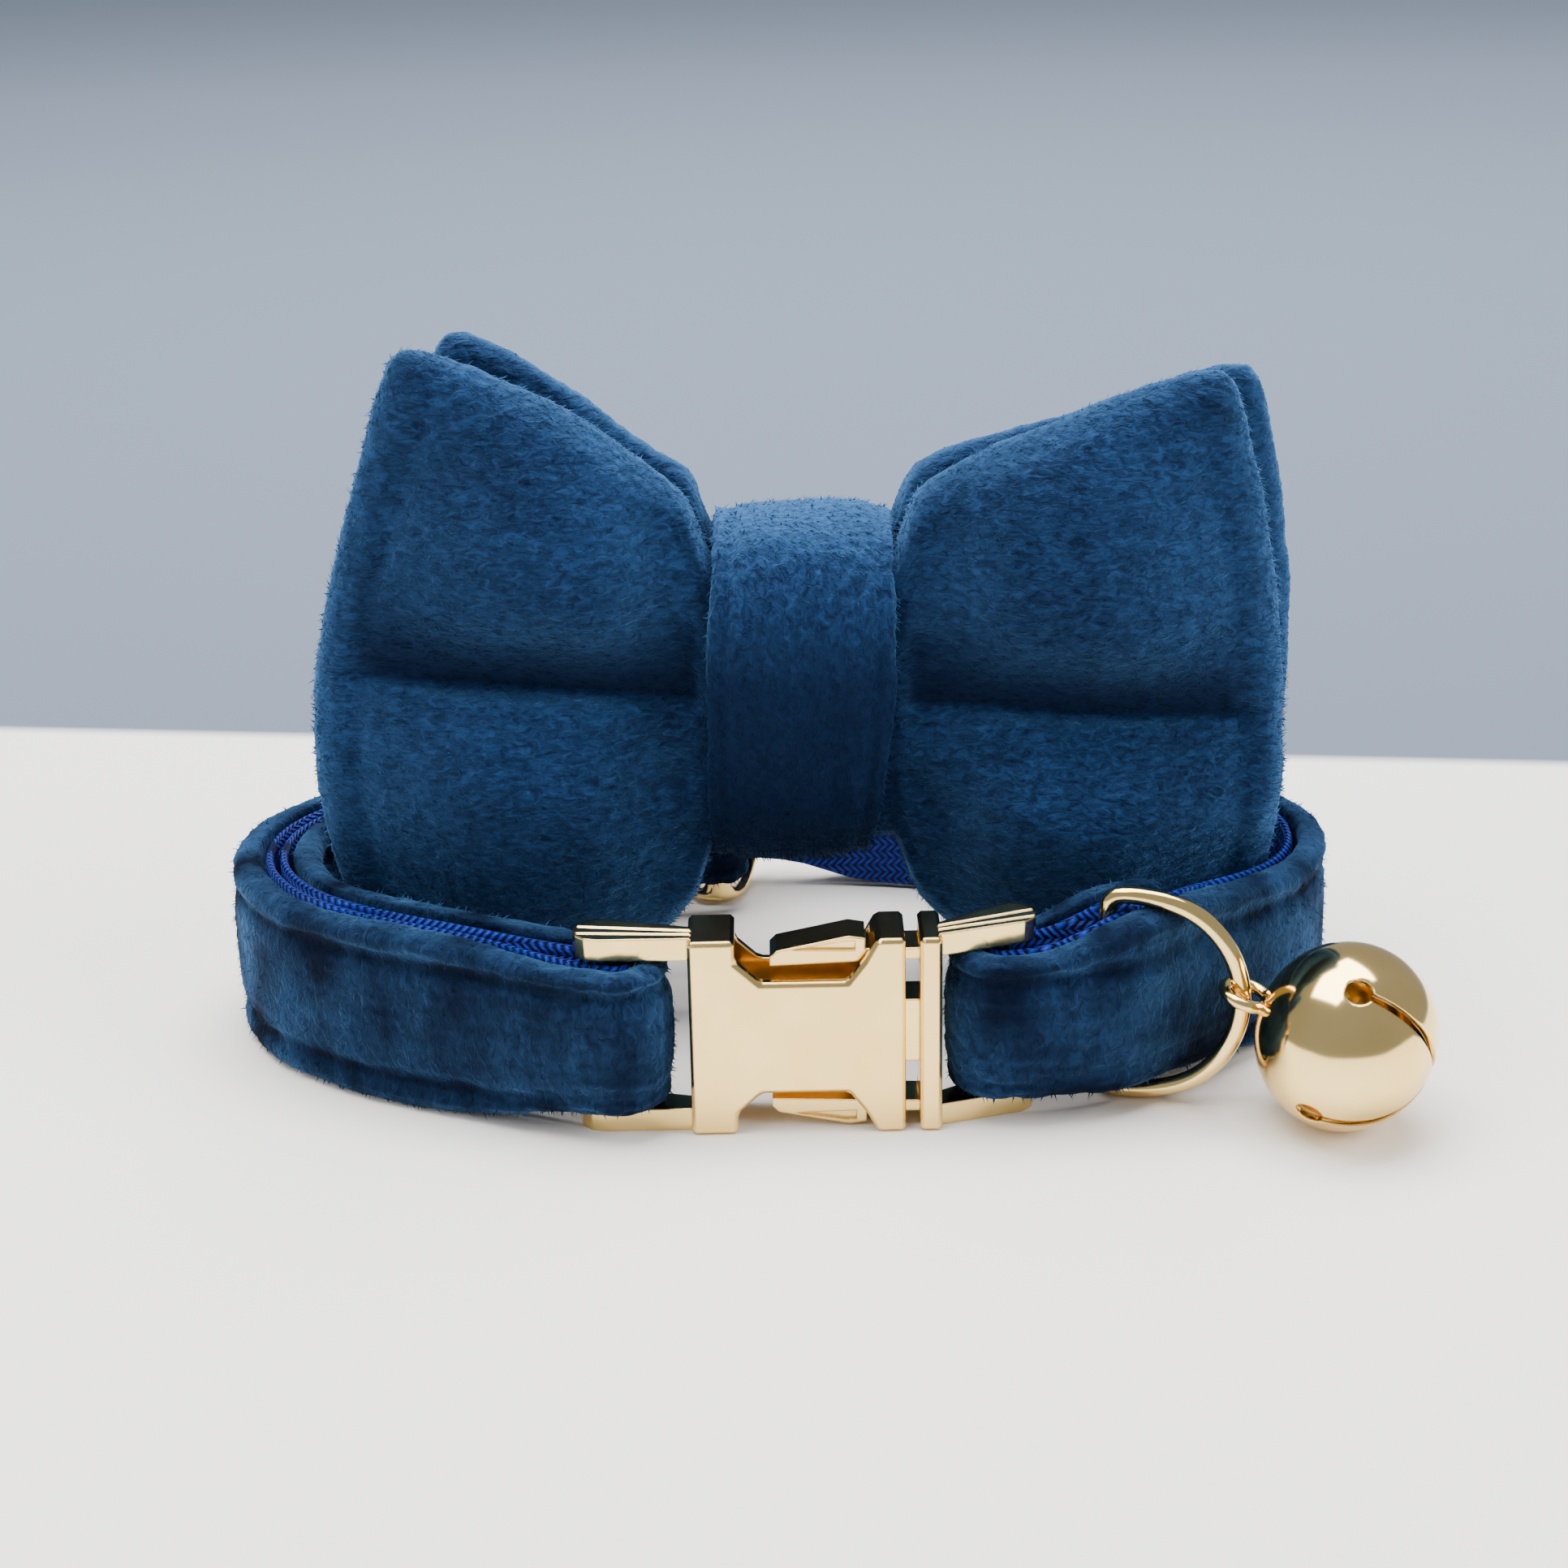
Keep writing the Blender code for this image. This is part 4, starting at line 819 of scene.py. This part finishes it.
class COLLAR_OT_strap(bpy.types.Operator):
    """Make the velvet and the webbing of the strap"""

    bl_idname = "collar.strap"
    bl_label = "Strap"

    def execute(self, context):
        cover = copy_node("strap_velvet", "strap_cloth")
        subdivide(cover, 3)
        points = coordinates(cover)
        along, _ = tape_places(points)
        groove = seams(points[:, 2], 0.9 * MM)
        puckers = np.sin(along * 2 * math.pi / (3.1 * MM) + 2 * noise_at(points, 9 * MM, 3.0))
        waves = noise_at(points, 7 * MM, 6.0, (1, 1, 2.2))
        push_out(cover, -0.34 * MM * groove + 0.08 * MM * groove * puckers + 0.24 * MM * waves)
        raise_pile(cover, 12.0)
        tape = copy_node("strap_webbing", "strap_tape")
        comb_pile(cover, 1.2, (0.25, 0.25, -0.9), 34, tape)
        # The strap's pile_shade: a base share of 0.34 darkens the whole strap as painted shade, crushed
        # patches and long streaks along the strap darken the pile unevenly, and the two seams get painted
        # shade
        points = coordinates(cover)
        crushed = noise_at(points, 5.5 * MM, 2.0, (1, 1, 1.6))
        crushed += 0.3 * noise_at(points, 1.6 * MM, 4.0, (1, 1, 3))
        heights = points[:, 2]
        laid_flat = np.stack([tape_places(points)[0], heights, heights], 1)
        streaks = noise_at(laid_flat, 1 * MM, 4.0, (9, 1, 1))
        shade_pile(cover, 0.34 + crushed + 0.5 * seams(heights, 0.7 * MM) + 0.25 * streaks)
        # Painted shade: the strap's copy of the velvet is made darker overall
        velvet = material_once("strap_velvet_cloth", velvet_material, 1100.0, 700.0, 90.0, 0.68)
        finish_piece(cover, velvet, replaced=("strap_velvet",))

        subdivide(tape, 1)
        places = tape_places(coordinates(tape))
        attribute = tape.data.attributes.new("tape_place", "FLOAT_VECTOR", "POINT")
        values = np.stack([places[0], places[1], np.zeros(len(places[0]))], 1)
        attribute.data.foreach_set("vector", values.reshape(-1))
        smooth(tape, 50)
        finish_piece(tape, webbing_material(), replaced=("strap_webbing",))
        return {"FINISHED"}


# Metal

class COLLAR_OT_buckle(bpy.types.Operator):
    """Plate the buckle's halves and its two levers"""

    bl_idname = "collar.buckle"
    bl_label = "Buckle"

    def execute(self, context):
        cast = material_once("cast_gold", gold_material, 0.14, 0.05 * MM)
        for node in ("female_buckle", "male_buckle", "upper_lever", "lower_lever", "bell_pellet"):
            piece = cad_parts[node]
            piece.data.materials.clear()
            piece.data.materials.append(cast)
        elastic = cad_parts["bow_elastic"]
        elastic.data.materials.clear()
        elastic.data.materials.append(elastic_material())
        return {"FINISHED"}


class COLLAR_OT_wires(bpy.types.Operator):
    """Make the D-ring and the slider from round wire"""

    bl_idname = "collar.wires"
    bl_label = "D-ring and slider"

    def execute(self, context):
        wire = material_once("wire_gold", gold_material, 0.10, 0.02 * MM)
        for node, name, thicker in (("d_ring", "ring_wire", 0.24), ("slider", "slider_wire", 0.05)):
            piece = copy_node(node, name)
            subdivide(piece, 2)
            push_out(piece, np.full(len(piece.data.vertices), thicker * MM))
            smooth(piece)
            finish_piece(piece, wire, replaced=(node,))
        return {"FINISHED"}


def cut_with(piece, cutter):
    """Takes the cutter's shape out of the piece and removes the cutter."""
    add_modifier(piece, "BOOLEAN", operation="DIFFERENCE", solver="EXACT", object=cutter)
    bpy.data.objects.remove(cutter, do_unlink=True)


def bell_placing():
    """Turns the bell's slots to the front and its loop to the D-ring, and sets it on the table."""
    level = math.cos(BELL_DROP)
    axis = Vector((level * math.cos(BELL_YAW), level * math.sin(BELL_YAW), -math.sin(BELL_DROP)))
    towards = Vector((0, -0.62, 0.79))
    across = (towards - axis * towards.dot(axis)).normalized()
    turn = Matrix((across, axis.cross(across), axis)).transposed().to_4x4()
    pellet = node_box("bell_pellet")[2]
    return Matrix.Translation((pellet.x, pellet.y, BELL_RADIUS)) @ turn


def cut_bell_slots(bell):
    """Cuts two crossed slots, each ending in round holes."""
    end_height = BELL_SLOT_PLACE * BELL_HALF_HEIGHT
    for turned in (0, math.pi / 2):
        bpy.ops.mesh.primitive_cube_add(size=1)
        slot = bpy.context.object
        slot.scale = (2.4 * BELL_RADIUS, 0.9 * MM, 1.3 * BELL_RADIUS)
        slot.location = (0, 0, 0.65 * BELL_RADIUS + end_height)
        slot.rotation_euler.z = turned
        cut_with(bell, slot)
        bpy.ops.mesh.primitive_cylinder_add(vertices=32, radius=1.25 * MM, depth=2.4 * BELL_RADIUS)
        hole = bpy.context.object
        hole.rotation_euler = (0, math.pi / 2, turned)
        hole.location = (0, 0, end_height)
        cut_with(bell, hole)


class COLLAR_OT_bell(bpy.types.Operator):
    """Make the round bell with its crossed slots and its loop"""

    bl_idname = "collar.bell"
    bl_label = "Bell"

    def execute(self, context):
        placed = bell_placing()
        deselect_all()
        bpy.ops.mesh.primitive_uv_sphere_add(segments=96, ring_count=64, radius=BELL_RADIUS)
        bell = bpy.context.object
        bell.name = "bell_shell"
        points = coordinates(bell)
        points[:, 2] *= BELL_HALF_HEIGHT / BELL_RADIUS
        set_coordinates(bell, points)
        add_modifier(bell, "SOLIDIFY", thickness=BELL_WALL, offset=-1)
        cut_bell_slots(bell)
        edge_angle = math.radians(50)
        add_modifier(bell, "BEVEL", width=0.16 * MM, segments=2, limit_method="ANGLE", angle_limit=edge_angle)
        bpy.ops.mesh.primitive_torus_add(
            major_radius=BELL_LOOP_RADIUS, minor_radius=BELL_LOOP_WIRE, major_segments=48, minor_segments=16,
            location=(0, 0, -BELL_HALF_HEIGHT - BELL_LOOP_RADIUS + BELL_WALL),
        )
        loop = bpy.context.object
        sideways = placed.to_3x3().inverted() @ Vector((-math.sin(BELL_YAW), math.cos(BELL_YAW), 0))
        loop.rotation_mode = "QUATERNION"
        loop.rotation_quaternion = Vector((0, 0, 1)).rotation_difference(Vector((0, 0, 1)).cross(sideways))
        make_active(bell)
        loop.select_set(True)
        bpy.ops.object.join()
        bell.matrix_world = placed
        bpy.ops.object.transform_apply(location=True, rotation=True, scale=True)
        points = coordinates(bell)
        push_out(bell, 0.035 * MM * noise_at(points, 4.5 * MM, 8.0))
        smooth(bell, 35)
        plated = material_once("bell_gold", gold_material, 0.11, 0.16 * MM)
        finish_piece(bell, plated, replaced=("bell",))
        return {"FINISHED"}


# Stage

def floor_material():
    """A pale table, and a blue-grey surface beyond its far edge, with painted light falloff: darker near the
    table and lighter far off.
    """
    material, nodes, links, shader = new_material("floor")
    tree = material.node_tree
    place = nodes.new("ShaderNodeTexCoord")
    split = nodes.new("ShaderNodeSeparateXYZ")
    links.new(place.outputs["Object"], split.inputs[0])
    beyond = nodes.new("ShaderNodeMapRange")
    beyond.inputs["From Min"].default_value = 0.0735
    beyond.inputs["From Max"].default_value = 0.0765
    skew = math_node(tree, "MULTIPLY", split.outputs["X"], 0.12)
    skewed = math_node(tree, "ADD", split.outputs["Y"], skew)
    links.new(skewed, beyond.inputs["Value"])
    colour = settings().backdrop_colour
    # Painted light falloff: the backdrop colour darkens near the table and brightens far off
    painted_backdrop_falloff = (0.08, scaled(colour, 0.72)), (0.75, scaled(colour, 1.35))
    depth = ramp_node(tree, split.outputs["Y"], painted_backdrop_falloff)
    mix = nodes.new("ShaderNodeMix")
    mix.data_type = "RGBA"
    mix.inputs["A"].default_value = (*settings().floor_colour, 1)
    links.new(depth, mix.inputs["B"])
    links.new(beyond.outputs["Result"], mix.inputs["Factor"])
    links.new(mix.outputs["Result"], shader.inputs["Base Color"])
    shader.inputs["Roughness"].default_value = 0.6
    shader.inputs["Specular IOR Level"].default_value = 0.3
    return material


def soft_light(name, place, target, size, power, colour):
    """A large lamp. Only the top one shows in the metal."""
    lamp = bpy.data.lights.new(name, "AREA")
    lamp.shape = "RECTANGLE"
    lamp.size, lamp.size_y = size
    lamp.energy = power
    lamp.color = colour
    holder = bpy.data.objects.new(name, lamp)
    bpy.context.scene.collection.objects.link(holder)
    holder.location = place
    holder.rotation_euler = (Vector(target) - Vector(place)).to_track_quat("-Z", "Y").to_euler()
    holder.visible_glossy = name == "top"
    return holder


class COLLAR_OT_stage(bpy.types.Operator):
    """Make the table, the lights and the camera"""

    bl_idname = "collar.stage"
    bl_label = "Stage"

    def execute(self, context):
        deselect_all()
        bpy.ops.mesh.primitive_plane_add(size=6)
        floor = bpy.context.object
        floor.name = "floor"
        floor.data.materials.append(floor_material())

        world = context.scene.world or bpy.data.worlds.new("World")
        context.scene.world = world
        world.use_nodes = True
        background = world.node_tree.nodes["Background"]
        background.inputs["Color"].default_value = (0.84, 0.88, 0.95, 1)
        background.inputs["Strength"].default_value = 0.46
        soft_light("top", (-0.08, 0.12, 0.75), (0, 0, 0.02), (0.9, 0.6), 19.0, (1.0, 0.99, 0.97))
        soft_light("left", (-0.60, -0.35, 0.50), (0, 0, 0.02), (0.5, 0.5), 2.6, (1.0, 0.98, 0.95))
        soft_light("right", (0.75, -0.25, 0.45), (0, 0, 0.03), (0.5, 0.6), 8.0, (1.0, 1.0, 1.0))

        lens = bpy.data.cameras.new("camera")
        lens.sensor_width = 36
        lens.lens = 36 * 3400 / 1932
        lens.clip_start = 0.01
        camera = bpy.data.objects.new("camera", lens)
        context.scene.collection.objects.link(camera)
        tilt = Matrix.Rotation(math.radians(90 - 21), 4, "X") @ Matrix.Rotation(math.radians(-1.10), 4, "Z")
        plate_low, plate_high, _ = node_box("female_buckle")
        place = (plate_high.x - 10.55 * MM, plate_low.y - 223.85 * MM, 120.20 * MM)
        camera.matrix_world = Matrix.Translation(place) @ tilt
        context.scene.camera = camera
        return {"FINISHED"}


class COLLAR_PT_panel(bpy.types.Panel):
    """Sizes and colours of the collar, and one button for each group of pieces"""

    bl_label = "Bow tie collar"
    bl_idname = "COLLAR_PT_panel"
    bl_space_type = "VIEW_3D"
    bl_region_type = "UI"
    bl_category = "Collar"

    def draw(self, context):
        for name in CollarSettings.__annotations__:
            self.layout.prop(settings(), name)
        for operator in OPERATORS:
            self.layout.operator(operator.bl_idname)


OPERATORS = (
    COLLAR_OT_bow, COLLAR_OT_knot, COLLAR_OT_strap, COLLAR_OT_buckle, COLLAR_OT_wires, COLLAR_OT_bell,
    COLLAR_OT_stage,
)
CLASSES = (CollarSettings, *OPERATORS, COLLAR_PT_panel)


def register():
    for item in CLASSES:
        bpy.utils.register_class(item)
    bpy.types.Scene.collar_settings = bpy.props.PointerProperty(type=CollarSettings)


def unregister():
    del bpy.types.Scene.collar_settings
    for item in reversed(CLASSES):
        bpy.utils.unregister_class(item)


def main():
    register()
    bpy.ops.collar.bow()
    bpy.ops.collar.knot()
    bpy.ops.collar.strap()
    bpy.ops.collar.buckle()
    bpy.ops.collar.wires()
    bpy.ops.collar.bell()
    bpy.ops.collar.stage()


if __name__ == "__main__":
    main()
